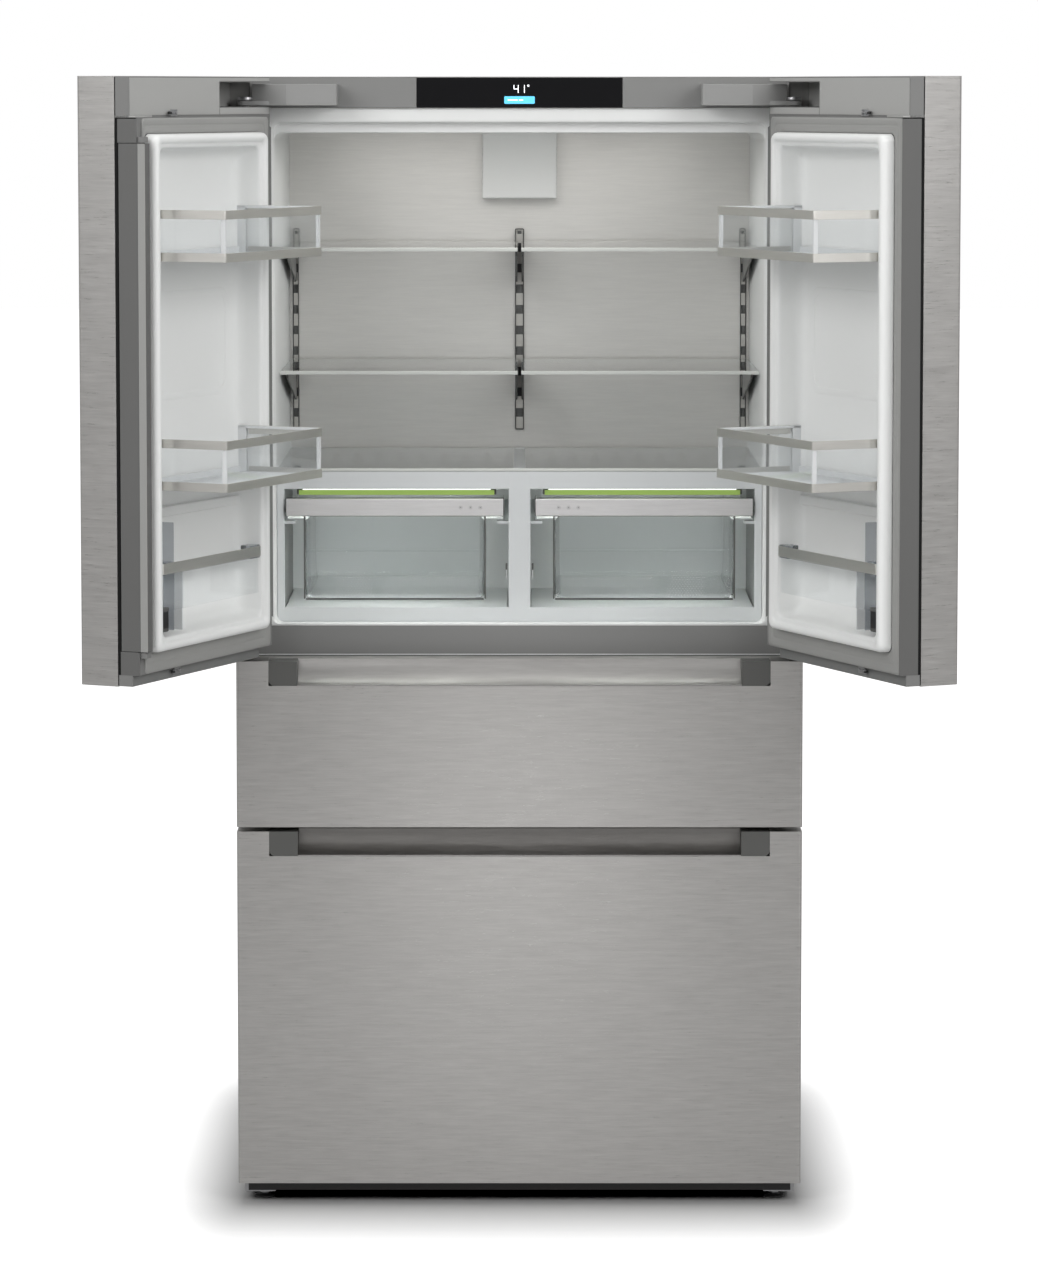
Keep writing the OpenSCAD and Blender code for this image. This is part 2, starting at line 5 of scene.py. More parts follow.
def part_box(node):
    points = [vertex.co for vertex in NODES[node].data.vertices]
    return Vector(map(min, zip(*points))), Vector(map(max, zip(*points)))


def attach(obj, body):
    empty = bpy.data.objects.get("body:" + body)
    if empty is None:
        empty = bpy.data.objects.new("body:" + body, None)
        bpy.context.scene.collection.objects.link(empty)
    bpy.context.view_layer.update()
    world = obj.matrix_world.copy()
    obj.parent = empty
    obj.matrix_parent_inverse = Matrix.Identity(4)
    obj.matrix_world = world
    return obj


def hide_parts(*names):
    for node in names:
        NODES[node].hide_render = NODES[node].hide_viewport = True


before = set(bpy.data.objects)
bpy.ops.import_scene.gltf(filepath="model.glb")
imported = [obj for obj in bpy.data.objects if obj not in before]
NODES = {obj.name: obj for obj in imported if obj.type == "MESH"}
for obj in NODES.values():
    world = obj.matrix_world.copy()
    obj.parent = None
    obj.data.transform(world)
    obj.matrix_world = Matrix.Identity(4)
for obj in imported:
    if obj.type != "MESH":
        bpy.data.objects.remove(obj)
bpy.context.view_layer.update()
SCENE = bpy.context.scene
SCENE.view_settings.view_transform = "Standard"
SCENE.view_settings.look = "None"

MM = 0.001
Y0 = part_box("upper_drawer_skin")[0].y        # plane of the closed fronts
CAB = Matrix.Translation((0, Y0, 0))
HX, HY, OPEN = -0.439, 0.055, math.radians(115)


def door_matrix(side):
    """Closed-door coordinates to the row frame. side is -1 for the left door, 1 for the right."""
    hx = HX * -side if side == 1 else HX
    return (CAB @ Matrix.Translation((hx, HY, 0)) @ Matrix.Rotation(OPEN * side, 4, "Z")
            @ Matrix.Translation((-hx, -HY, 0)))


LEFT, RIGHT = door_matrix(-1), door_matrix(1)

# ------------------------------------------------------------------ materials


class Nodes:
    def __init__(self, name):
        self.m = bpy.data.materials.new(name)
        self.m.use_nodes = True
        self.t = self.m.node_tree
        self.bsdf = self.t.nodes["Principled BSDF"]
        self.co = self.t.nodes.new("ShaderNodeTexCoord").outputs["Object"]

    def n(self, kind, **kw):
        node = self.t.nodes.new(kind)
        for k, v in kw.items():
            setattr(node, k, v)
        return node

    def link(self, a, b):
        self.t.links.new(a, b)

    def noise(self, scale, detail=2.0, rough=0.5, seed=0.0):
        """Noise in object space; scale is cells per metre along x, y and z."""
        mp = self.n("ShaderNodeMapping")
        mp.inputs["Scale"].default_value = scale
        mp.inputs["Location"].default_value = (seed, seed * 1.7, seed * 2.3)
        self.link(self.co, mp.inputs["Vector"])
        nz = self.n("ShaderNodeTexNoise")
        nz.inputs["Scale"].default_value = 1.0
        nz.inputs["Detail"].default_value = detail
        nz.inputs["Roughness"].default_value = rough
        self.link(mp.outputs["Vector"], nz.inputs["Vector"])
        return nz.outputs["Fac"]

    def remap(self, value, lo, hi, a=0.3, b=0.7):
        mr = self.n("ShaderNodeMapRange")
        mr.inputs["From Min"].default_value = a
        mr.inputs["From Max"].default_value = b
        mr.inputs["To Min"].default_value = lo
        mr.inputs["To Max"].default_value = hi
        self.link(value, mr.inputs["Value"])
        return mr.outputs["Result"]

    def math(self, op, a, b):
        mt = self.n("ShaderNodeMath", operation=op)
        for i, v in enumerate((a, b)):
            if isinstance(v, (int, float)):
                mt.inputs[i].default_value = v
            else:
                self.link(v, mt.inputs[i])
        return mt.outputs[0]

    def tint(self, color, factor):
        """color times a factor that changes over the surface."""
        vm = self.n("ShaderNodeVectorMath", operation="SCALE")
        vm.inputs[0].default_value = color[:3]
        self.link(factor, vm.inputs["Scale"])
        self.link(vm.outputs[0], self.bsdf.inputs["Base Color"])

    def bump(self, height, strength, distance):
        bp = self.n("ShaderNodeBump")
        bp.inputs["Strength"].default_value = strength
        bp.inputs["Distance"].default_value = distance
        self.link(height, bp.inputs["Height"])
        self.link(bp.outputs["Normal"], self.bsdf.inputs["Normal"])

    def set(self, **kw):
        for k, v in kw.items():
            self.bsdf.inputs[k.replace("_", " ")].default_value = v


def steel(name, color, rough=0.3, aniso=0.6, depth=0.06, fine=True):
    """Brushed steel whose brush lines run level: fast change along z, slow along x and y."""
    a = Nodes(name)
    a.set(Metallic=1.0, Anisotropic=aniso, Anisotropic_Rotation=0.25)
    coarse = a.noise((13, 13, 190), 3, 0.6, 3.1)
    mid = a.noise((26, 26, 620), 3, 0.6, 7.7)
    hair = a.noise((60, 60, 2400), 2, 0.6, 1.3)
    cloud = a.noise((1.4, 1.4, 1.1), 2, 0.5, 5.0)
    f = a.math("ADD", a.remap(coarse, -depth, depth), a.remap(mid, -depth * 0.9, depth * 0.9))
    f = a.math("ADD", f, a.remap(hair, -depth * 0.6, depth * 0.6))
    f = a.math("ADD", f, a.remap(cloud, 0.975, 1.025))
    a.tint(color, f)
    r = a.math("ADD", a.remap(mid, rough - 0.05, rough + 0.05), a.remap(hair, -0.03, 0.03))
    a.link(r, a.bsdf.inputs["Roughness"])
    a.bump(a.math("ADD", mid, hair), 0.10, 0.0002)
    tg = a.n("ShaderNodeTangent", direction_type="RADIAL", axis="Z")
    a.link(tg.outputs[0], a.bsdf.inputs["Tangent"])
    return a.m


def plastic(name, color, rough=0.45, var=0.025, grain=0.0, size=900, metal=0.0, spec=0.5, coat=0.0):
    """Moulded plastic or paint: slow tone change, fine surface grain, uneven gloss."""
    a = Nodes(name)
    a.set(Metallic=metal)
    a.bsdf.inputs["Specular IOR Level"].default_value = spec
    if coat:
        a.bsdf.inputs["Coat Weight"].default_value = coat
        a.bsdf.inputs["Coat Roughness"].default_value = 0.08
    slow = a.noise((3.1, 3.1, 2.3), 3, 0.55, 2.0)
    fine = a.noise((size, size, size), 2, 0.6, 4.0)
    a.tint(color, a.math("ADD", a.remap(slow, 1 - var, 1 + var), a.remap(fine, -var * 0.5, var * 0.5)))
    rr = a.math("ADD", a.remap(slow, rough - 0.03, rough + 0.03), a.remap(fine, -0.04, 0.04))
    a.link(rr, a.bsdf.inputs["Roughness"])
    if grain:
        a.bump(fine, grain, 0.0003)
    return a.m


def glass(name, color, rough=0.02, ior=1.45, trans=1.0, haze=0.0):
    a = Nodes(name)
    a.set(IOR=ior)
    a.bsdf.inputs["Transmission Weight"].default_value = trans
    slow = a.noise((5, 5, 5), 2, 0.5, 6.0)
    fine = a.noise((420, 420, 420), 2, 0.5, 6.0)
    a.tint(color, a.math("ADD", a.remap(slow, 0.985, 1.01), a.remap(fine, -0.006, 0.006)))
    a.link(a.remap(slow, rough, rough + 0.02 + haze), a.bsdf.inputs["Roughness"])
    return a.m


def glow(name, color, strength):
    a = Nodes(name)
    a.set(Roughness=0.4)
    v = a.noise((12, 3, 3), 2, 0.5, 1.0)
    a.tint(color, a.remap(v, 0.96, 1.02))
    a.bsdf.inputs["Emission Color"].default_value = (*color[:3], 1)
    a.bsdf.inputs["Emission Strength"].default_value = strength
    return a.m


def srgb(r, g, b):
    f = lambda c: (c / 255 / 12.92) if c / 255 <= 0.04045 else ((c / 255 + 0.055) / 1.055) ** 2.4
    return (f(r), f(g), f(b))


M = {
    "steel": steel("brushed_steel", (0.56, 0.548, 0.534), 0.33, 0.62, 0.055),
    "steel_edge": steel("brushed_steel_trim", (0.42, 0.41, 0.40), 0.42, 0.3, 0.05),
    "wall_steel": steel("inner_wall_steel", (0.82, 0.805, 0.78), 0.44, 0.35, 0.022),
    "rail": steel("rail_steel", (0.70, 0.685, 0.65), 0.36, 0.3, 0.02),
    "handle": steel("crisper_handle_metal", (0.86, 0.85, 0.85), 0.42, 0.4, 0.03),
    "zinc": plastic("zinc_plate", (0.42, 0.42, 0.43), 0.34, 0.10, 0.05, 300, metal=1.0),
    "casing": plastic("painted_casing", srgb(150, 150, 149), 0.42, 0.02, 0.06, 1500),
    "white": plastic("liner_white", srgb(242, 243, 242), 0.34, 0.012, 0.02, 700, spec=0.5),
    "frame_white": plastic("frame_white", srgb(218, 221, 222), 0.38, 0.012, 0.03, 900),
    # mid grey standing for white bay walls in shade: painted shade
    "bay_painted_shade_grey": plastic("bay_painted_shade_grey", srgb(128, 130, 130), 0.42, 0.02, 0.04, 900),
    "duct": plastic("duct_white", srgb(252, 252, 251), 0.36, 0.012, 0.03, 900),
    "rack_white": plastic("rack_white", srgb(222, 224, 225), 0.3, 0.012, 0.0),
    "grey": plastic("grey_door_plastic", srgb(128, 128, 127), 0.46, 0.02, 0.07, 1300),
    "grey_box": plastic("inner_door_grey", srgb(122, 123, 122), 0.44, 0.02, 0.06, 1300),
    "cap": plastic("cap_grey", srgb(176, 176, 174), 0.42, 0.015, 0.04, 1300),
    "gasket": plastic("gasket_grey", srgb(158, 158, 156), 0.55, 0.02, 0.08, 500, spec=0.3),
    "strip": plastic("dark_side_strip", srgb(104, 104, 103), 0.48, 0.02, 0.07, 1200, spec=0.35),
    "face_frame": plastic("face_frame_grey", srgb(132, 132, 131), 0.42, 0.02, 0.05, 1200),
    "dark": plastic("dark_grey_plastic", srgb(88, 88, 86), 0.5, 0.03, 0.10, 1100),
    "black": plastic("black_plastic", srgb(30, 30, 30), 0.45, 0.06, 0.08, 900),
    # black seal material, also used on strips that paint shadow lines in gaps
    "rubber": plastic("black_seal_and_shadow_line", srgb(18, 18, 18), 0.7, 0.08, 0.12, 500, spec=0.2),
    "fascia": plastic("fascia_grey", srgb(138, 138, 137), 0.34, 0.015, 0.03, 1300),
    "hinge": plastic("hinge_grey", srgb(152, 152, 151), 0.40, 0.02, 0.05, 1200, coat=0.15),
    "black_glass": plastic("black_glass", (0.008, 0.008, 0.009), 0.14, 0.05, 0.0, spec=0.2),
    "paint": plastic("black_machine_paint", (0.018, 0.018, 0.019), 0.38, 0.10, 0.12, 260, coat=0.2),
    "bracket": plastic("bracket_coat", srgb(88, 88, 87), 0.36, 0.03, 0.05, 1200, metal=0.3),
    "shelf_rail": plastic("shelf_rail_steel", srgb(150, 149, 146), 0.34, 0.03, 0.04, 900, metal=0.55),
    "alu": plastic("aluminium_fins", (0.72, 0.73, 0.74), 0.36, 0.05, 0.05, 700, metal=1.0),
    "foam": plastic("foam", (0.80, 0.68, 0.38), 0.9, 0.08, 0.4, 240, spec=0.1),
    "back": plastic("galvanised_back", (0.46, 0.47, 0.48), 0.42, 0.09, 0.06, 180, metal=0.9),
    "roller": plastic("roller_nylon", srgb(56, 56, 56), 0.45, 0.05, 0.08, 700),
    "glass": glass("shelf_glass", (0.93, 0.97, 0.96), 0.01, 1.42),
    "glass_cover": glass("crisper_glass", (0.88, 0.92, 0.92), 0.02, 1.42),
    "clear": glass("clear_plastic", (0.955, 0.965, 0.97), 0.02, 1.3),
    "smoke": glass("smoked_plastic", (0.55, 0.57, 0.60), 0.12, 1.3),
    "humps": glass("tray_ribs", (0.62, 0.66, 0.64), 0.12, 1.35, 0.75, 0.05),
    "lamp": glow("lamp_strip", (0.97, 1.0, 0.95), 2.6),
    "green": glow("lamp_edge_green", srgb(140, 168, 84), 0.55),
    "digit": glow("display_white", (0.95, 0.97, 1.0), 1.4),
    "blue": glow("display_blue", srgb(88, 182, 214), 1.0),
    "print": plastic("grey_print", srgb(120, 120, 120), 0.5, 0.02),
    "edge": plastic("ground_glass_edge", srgb(214, 216, 212), 0.30, 0.02, 0.05, 800),
    "copper": plastic("copper_pipe", (0.72, 0.36, 0.22), 0.3, 0.10, 0.05, 200, metal=1.0),
}

# ------------------------------------------------------------------ mesh helpers, all in millimetres


def rrect(x0, x1, z0, z1, r, n=6):
    """Points of a rounded rectangle, counter-clockwise, the same count whatever the radius."""
    r = max(0.02, min(r, (x1 - x0) / 2 - 0.01, (z1 - z0) / 2 - 0.01))
    pts = []
    for cx, cz, a0 in ((x1 - r, z0 + r, -90), (x1 - r, z1 - r, 0), (x0 + r, z1 - r, 90), (x0 + r, z0 + r, 180)):
        for i in range(n + 1):
            a = math.radians(a0 + 90 * i / n)
            pts.append((cx + r * math.cos(a), cz + r * math.sin(a)))
    return pts


class Part:
    def __init__(self):
        self.bm = bmesh.new()
        self.mats = []

    def slot(self, mat):
        if mat not in self.mats:
            self.mats.append(mat)
        return self.mats.index(mat)

    def take(self, tmp, mat):
        i = self.slot(mat)
        bmesh.ops.recalc_face_normals(tmp, faces=tmp.faces[:])
        for f in tmp.faces:
            f.material_index = i
            f.smooth = True
        me = bpy.data.meshes.new("tmp")
        tmp.to_mesh(me)
        tmp.free()
        self.bm.from_mesh(me)
        bpy.data.meshes.remove(me)

    def bevel(self, tmp, b, seg, angle=25):
        if b <= 0:
            return
        lim = math.radians(angle)
        edges = [e for e in tmp.edges if len(e.link_faces) == 2 and e.calc_face_angle(0) > lim]
        bmesh.ops.bevel(tmp, geom=edges, offset=b, offset_type="OFFSET", segments=seg, profile=0.5,
                        affect="EDGES", clamp_overlap=True)

    def box(self, x0, x1, y0, y1, z0, z1, mat, b=0.6, seg=2):
        t = bmesh.new()
        v = [t.verts.new((x, y, z)) for x in (x0, x1) for y in (y0, y1) for z in (z0, z1)]
        for q in ((0, 1, 3, 2), (4, 6, 7, 5), (0, 4, 5, 1), (2, 3, 7, 6), (0, 2, 6, 4), (1, 5, 7, 3)):
            t.faces.new([v[i] for i in q])
        bmesh.ops.recalc_face_normals(t, faces=t.faces[:])
        self.bevel(t, min(b, 0.45 * min(x1 - x0, y1 - y0, z1 - z0)), seg)
        self.take(t, mat)

    def prism(self, pts, axis, a0, a1, mat, b=0.5, seg=2):
        """Outline pts extruded along an axis. The outline's two numbers are the other axes in x, y, z order."""
        t = bmesh.new()

        def at(p, a):
            c = [p[0], p[1]]
            c.insert("xyz".index(axis), a)
            return c
        lo = [t.verts.new(at(p, a0)) for p in pts]
        hi = [t.verts.new(at(p, a1)) for p in pts]
        n = len(pts)
        t.faces.new(lo)
        t.faces.new(hi[::-1])
        for i in range(n):
            t.faces.new([lo[i], hi[i], hi[(i + 1) % n], lo[(i + 1) % n]])
        bmesh.ops.recalc_face_normals(t, faces=t.faces[:])
        self.bevel(t, b, seg)
        self.take(t, mat)

    def loft(self, rings, mat, cap0=True, cap1=True, loop=False, closed_ring=True):
        t = bmesh.new()
        vs = [[t.verts.new(p) for p in r] for r in rings]
        n = len(rings[0])
        pairs = list(zip(vs, vs[1:])) + ([(vs[-1], vs[0])] if loop else [])
        for a, c in pairs:
            for i in range(n if closed_ring else n - 1):
                j = (i + 1) % n
                t.faces.new([a[i], a[j], c[j], c[i]])
        if cap0 and not loop:
            t.faces.new(vs[0])
        if cap1 and not loop:
            t.faces.new(vs[-1][::-1])
        self.take(t, mat)

    def rings(self, spec, mat, loop=False, cap0=True, cap1=True, n=6):
        """spec: (x0, x1, z0, z1, radius, y) for each ring."""
        self.loft([[(x, y, z) for x, z in rrect(x0, x1, z0, z1, r, n)] for x0, x1, z0, z1, r, y in spec],
                  mat, cap0, cap1, loop)

    def rings_xy(self, spec, mat, loop=False, cap0=True, cap1=True, n=6):
        """spec: (x0, x1, y0, y1, radius, z) for each ring of a shell that stands up."""
        self.loft([[(x, y, z) for x, y in rrect(x0, x1, y0, y1, r, n)] for x0, x1, y0, y1, r, z in spec],
                  mat, cap0, cap1, loop)

    def turned(self, profile, origin, axis, mat, n=40):
        """profile: (radius, distance along the axis)."""
        o = Vector(origin)
        ax = {"x": Vector((1, 0, 0)), "y": Vector((0, 1, 0)), "z": Vector((0, 0, 1))}[axis]
        u = {"x": Vector((0, 1, 0)), "y": Vector((0, 0, 1)), "z": Vector((1, 0, 0))}[axis]
        w = ax.cross(u)
        rings = [[o + ax * h + (u * math.cos(2 * math.pi * i / n) + w * math.sin(2 * math.pi * i / n)) * r
                  for i in range(n)] for r, h in profile]
        self.loft(rings, mat)

    def cyl(self, origin, axis, r, h, mat, b=0.4, n=32):
        self.turned([(r - b, 0), (r - b * 0.3, b * 0.3), (r, b), (r, h - b), (r - b * 0.3, h - b * 0.3), (r - b, h)],
                    origin, axis, mat, n)

    def tube(self, pts, r, mat, n=12, closed=False):
        p = [Vector(q) for q in pts]
        rings = []
        up = None
        m = len(p)
        for i, q in enumerate(p):
            d = (p[(i + 1) % m] - p[i - 1]) if closed else (p[min(i + 1, m - 1)] - p[max(i - 1, 0)])
            d.normalize()
            if up is None:
                up = Vector((0, 0, 1)) if abs(d.z) < 0.9 else Vector((1, 0, 0))
            s = d.cross(up).normalized()
            up = s.cross(d).normalized()
            rings.append([q + (s * math.cos(2 * math.pi * k / n) + up * math.sin(2 * math.pi * k / n)) * r
                          for k in range(n)])
        self.loft(rings, mat, loop=closed)

    def done(self, name, body, slot, matrix=CAB, mirror=False, replaces=(), sharp=38, weighted=True):
        if mirror:
            bmesh.ops.scale(self.bm, vec=(-1, 1, 1), verts=self.bm.verts[:])
            bmesh.ops.reverse_faces(self.bm, faces=self.bm.faces[:])
        bmesh.ops.scale(self.bm, vec=(MM, MM, MM), verts=self.bm.verts[:])
        lim = math.radians(sharp)
        for e in self.bm.edges:
            if len(e.link_faces) == 2:
                e.smooth = e.calc_face_angle(0) < lim
        me = bpy.data.meshes.new(name)
        self.bm.to_mesh(me)
        self.bm.free()
        for m in self.mats:
            me.materials.append(M[m])
        o = bpy.data.objects.new(name, me)
        SCENE.collection.objects.link(o)
        o.matrix_world = matrix
        if weighted:
            w = o.modifiers.new("even_normals", "WEIGHTED_NORMAL")
            w.keep_sharp = True
        if replaces:
            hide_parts(*replaces)
        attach(o, body)
        return o


def cad(name, mat, bevel=0.6, seg=2):
    """A CAD node that keeps its shape, with softened edges and a real surface."""
    o = NODES[name]
    o.data.materials.clear()
    o.data.materials.append(M[mat])
    w = o.modifiers.new("weld", "WELD")
    w.merge_threshold = 2e-6
    d = o.modifiers.new("flat", "DECIMATE")
    d.decimate_type = "DISSOLVE"
    d.angle_limit = math.radians(0.4)
    if bevel:
        b = o.modifiers.new("soft_edges", "BEVEL")
        b.width = bevel * MM
        b.segments = seg
        b.limit_method = "ANGLE"
        b.angle_limit = math.radians(40)
        b.use_clamp_overlap = True
    n = o.modifiers.new("even_normals", "WEIGHTED_NORMAL")
    n.keep_sharp = True
    return o


# ------------------------------------------------------------------ CAD nodes that keep their shape
for n, m, b in (
    ("outer_casing", "casing", 0.5), ("rear_panel", "back", 0.3), ("insulation", "foam", 0),
    ("drawer_liners", "white", 0.6), ("top_fascia", "fascia", 0.6), ("mid_fascia", "fascia", 0.5),
    ("top_hinges", "hinge", 0.9), ("bottom_hinges", "zinc", 0.5), ("back_wall", "wall_steel", 0.3),
    ("shelf_brackets", "bracket", 0.4), ("plinth", "black", 0.5), ("base_frame", "zinc", 0.5),
    ("rear_rollers", "roller", 0.8), ("compressor", "paint", 1.2), ("condenser", "paint", 0.3),
    ("condenser_fan", "black", 0.4), ("evaporator", "alu", 0), ("evaporator_fan", "black", 0.4),
    ("bay_cover", "black", 0.3), ("power_inlet", "black", 0.5), ("slide_rails", "zinc", 0.4),
    ("left_door_skin", "steel", 0.5), ("right_door_skin", "steel", 0.5),
    ("left_door_body", "grey", 0.7), ("right_door_body", "grey", 0.7),
    ("upper_drawer_skin", "steel", 0.5), ("freezer_drawer_skin", "steel", 0.5),
    ("upper_drawer_body", "dark", 0.8), ("freezer_drawer_body", "dark", 0.8),
    ("upper_drawer_grip", "steel_edge", 0.5), ("freezer_drawer_grip", "steel_edge", 0.5),
    ("mullion", "strip", 0.8),
):
    cad(n, m, b)

# ------------------------------------------------------------------ doors
RACKS = (1538, 1188)


def door_set(side, folding):
    tag = "left" if side == -1 else "right"
    mt = LEFT if side == -1 else RIGHT
    mirror = side == 1
    body = tag + "_door"

    # vacuum-formed liner with a stepped crest and soft corners
    p = Part()
    o, c = (-393, -29, 940, 1732), (-370, -52, 962, 1710)

    def ins(r, d):
        return r[0] + d, r[1] - d, r[2] + d, r[3] - d
    spec = [(-372.5, -49.5, 959.5, 1712.5, 14, 72.2), (-372.5, -49.5, 959.5, 1712.5, 14, 99), (-376, -46, 956, 1716, 14, 101.2),
            (*ins(o, 2), 12, 101.2), (*o, 12, 103), (*ins(o, 0.3), 12, 115), (*ins(o, 1.4), 12, 119.6), (*ins(o, 3.6), 11, 122.6), (*ins(o, 6.6), 10, 123.8),
            (*ins(o, 9.5), 9, 123.9), (*ins(o, 12.2), 9, 123.0), (*ins(o, 13.8), 9, 121.2), (*ins(o, 14.6), 9, 119.6),
            (*ins(o, 16), 9, 118.4), (*ins(o, 19), 10, 118), (*ins(c, -1.6), 12, 117.2), (*ins(c, -0.4), 12, 115),
            (*c, 12, 111), (*ins(c, 0.6), 13, 92), (*ins(c, 1.6), 14, 86), (*ins(c, 4), 15, 80.6), (*ins(c, 8), 16, 77), (*ins(c, 14), 18, 75.2),
            (*ins(c, 20), 18, 75)]
    p.rings(spec, "white", n=8)
    # moulded ribs in the tub floor, over and under each rack, and rack lugs
    for z in RACKS:
        for x0, x1 in ((-371, -360), (-62, -51)):
            p.box(x0, x1, 84, 104, z - 9, z - 0.5, "white", 1.2, 3)
    p.rings([(-330, -92, 1330, 1478, 20, 75.0), (-330.0, -92.0, 1330, 1478, 20, 75.6), (-332, -90, 1328, 1480, 21, 76.0),
             (-338, -84, 1322, 1486, 24, 76.0), (-341, -81, 1319, 1489, 25, 75.0), (-341, -81, 1319, 1489, 25, 74.2), (-330, -92, 1330, 1478, 20, 74.2)], "white", loop=True, n=8)
    # plate over the low pocket, with the step that it clips under
    p.rings([(-366, -56, 1140, 1156, 4, 75), (-366, -56, 1140, 1156, 4, 80), (-364, -58, 1142, 1154, 3, 82)], "white", n=5)
    p.done(tag + "_door_liner_shell", body, "liner_white", mt, mirror, (tag + "_door_liner",), 50)

    # magnetic gasket: bellows and a flat face
    p = Part()
    a = (-428, -21.5 if folding else -4, 908, 1756)
    i = (-393.6, -28.2, 939.4, 1732.6) if folding else (-393.6, -28.4, 939.4, 1732.6)

    def mix(t):
        return tuple(a[k] + (i[k] - a[k]) * t for k in range(4))
    p.rings([(*mix(0.02), 6, 101), (*mix(0.0), 7, 101.9), (*mix(0.05), 7, 103.2), (*mix(0.13), 8, 103.9), (*mix(0.34), 9, 104),
             (*mix(0.42), 9, 103.2), (*mix(0.47), 9, 102.9), (*mix(0.52), 9, 103.2), (*mix(0.60), 10, 103.9), (*mix(0.86), 10, 104),
             (*mix(0.95), 11, 103.2), (*mix(1.0), 11, 102.2), (*mix(0.99), 11, 101)], "gasket", loop=True, n=7)
    p.done(tag + "_door_seal", body, "gasket", mt, mirror, (tag + "_door_gasket",), 50)

    # racks: clear trays in white frames, with a steel band round the front and both sides
    for k, z in enumerate(RACKS):
        p = Part()
        # floor with a raised lip and rows of ribs
        p.box(-366, -58, 82, 225.5, z + 2, z + 4.6, "rack_white", 0.8)
        for j in range(15):
            x = -350 + j * 20
            p.box(x, x + 2, 90, 220, z + 4.4, z + 5.8, "rack_white", 0.5, 1)
        for x in (-368, -60.2):
            p.box(x + 0.2, x + 4, 79, 94, z + 0.5, z + 78.5, "rack_white", 1.0)
            p.box(x + 0.2, x + 4, 79, 227, z + 0.5, z + 6, "rack_white", 0.8)
            p.box(x + 0.2, x + 4, 79, 227, z + 74, z + 78.5, "rack_white", 0.8)
            p.box(x + 0.2, x + 4, 219, 226.8, z + 0.5, z + 78.5, "rack_white", 1.0)
        p.box(-368, -56.2, 79.2, 82.6, z + 0.5, z + 14, "rack_white", 0.8)
        p.done(f"{tag}_rack_frame_{k + 1}", body, "rack_white", mt, mirror, (tag + "_door_racks",) if k == 0 else ())
        p = Part()
        for x in (-366.6, -59.6):
            p.box(x, x + 2.0, 93, 220, z + 5, z + 75, "clear", 0.5)
        p.box(-364.4, -59.8, 223.6, 225.8, z + 5, z + 75, "clear", 0.5)
        o2 = p.done(f"{tag}_rack_panes_{k + 1}", body, "clear_plastic", mt, mirror)
        o2.visible_shadow = False

    # steel bands
    p = Part()
    for z in RACKS:
        for dz in (0, 65):
            z0, z1 = z + dz + 0.2, z + dz + 13.8
            r, e = 229.0, 1.2
            outer = [(-369.9, 96), (-369.9, 225), (-368.9, 227.9), (-366.2, r), (-57.8, r), (-55.1, 227.9), (-54.1, 225), (-54.1, 96)]
            inner = [(-54.1 - e, 96), (-54.1 - e, 224.6), (-56.0, 226.9), (-58.2, r - e), (-365.8, r - e), (-368.0, 226.9), (-369.9 + e, 224.6), (-369.9 + e, 96)]
            p.prism(outer + inner, "z", z0, z1, "rail", 0.25, 1)
    # band across the low pocket with its end caps
    p.prism([(-369.6, 102), (-369.6, 115.4), (-367.6, 117.7), (-54.4, 117.7), (-52.4, 115.4), (-52.4, 102), (-53.6, 102),
             (-53.6, 115), (-54.9, 116.5), (-367.1, 116.5), (-368.4, 115), (-368.4, 102)], "z", 1058.2, 1074.8, "rail", 0.25, 1)
    p.done(tag + "_rack_bands", body, "rail_metal", mt, mirror, (tag + "_rack_rails",), 35)
    p = Part()
    for x0, x1 in ((-367.8, -340), (-82, -54.2)):
        p.box(x0, x1, 96, 116.2, 1056, 1077, "smoke", 1.2, 3)
    p.box(-367, -55, 111.6, 113.4, 1000, 1057, "clear", 0.6)
    p.box(-98, -96.4, 80, 111, 968, 1135, "smoke", 0.6)
    o2 = p.done(tag + "_pocket_panes", body, "clear_plastic", mt, mirror)
    o2.visible_shadow = False
    p = Part()
    p.box(-94, -58, 79, 104, 966, 1004, "dark", 2.0, 3)
    p.box(-91, -61, 103.6, 105, 972, 998, "black", 0.5)
    p.box(-126, -123, 78, 111, 966, 1056, "rack_white", 1.0)
    p.done(tag + "_pocket_holder", body, "rack_white", mt, mirror)

    # sprung latch arms with rollers, above and below the inner door
    p = Part()
    for z in (1757, 894):
        p.box(-150, -130, 91.1, 92.8, z + 1, z + 12, "zinc", 0.4)
        for x in (-146, -135.5):
            p.turned([(0.4, 0), (2.4, 0.1), (2.6, 0.5), (2.2, 1.4), (0.5, 1.5)], (x, 92.6, z + 6.5), "y", "zinc", 16)
        p.prism([(-134, 92.4), (-130, 92.6), (-124, 97.0), (-118, 99.4), (-115.2, 98.2), (-116.2, 95.9), (-122, 94.2), (-128.5, 91.2), (-134, 91.2)],
                "z", z + 3.2, z + 4.6, "zinc", 0.3, 1)
        p.prism([(-134, 92.4), (-130, 92.6), (-124, 97.0), (-118, 99.4), (-115.2, 98.2), (-116.2, 95.9), (-122, 94.2), (-128.5, 91.2), (-134, 91.2)],
                "z", z + 8.6, z + 10.0, "zinc", 0.3, 1)
        p.turned([(1.2, -2.6), (1.5, -2.3), (1.5, 2.3), (1.2, 2.6)], (-118, 97.2, z + 6.6), "z", "zinc", 16)
        p.turned([(1.6, -1.9), (3.0, -1.8), (3.3, -1.2), (3.3, 1.2), (3.0, 1.8), (1.6, 1.9)], (-118, 97.2, z + 6.6), "z", "black", 24)
        p.tube([(-133 + 9 * t / 30, 94.6 + 0.8 * math.sin(t * 1.9), z + 6.6 + 1.1 * math.cos(t * 1.9)) for t in range(31)], 0.28, "zinc", 6)
    p.done(tag + "_latch_set", body, "zinc", mt, mirror, (tag + "_door_catches",))

    # light cap plates above and below the inner door, and black strips by the steel edge that paint the groove's
    # shadow line
    p = Part()
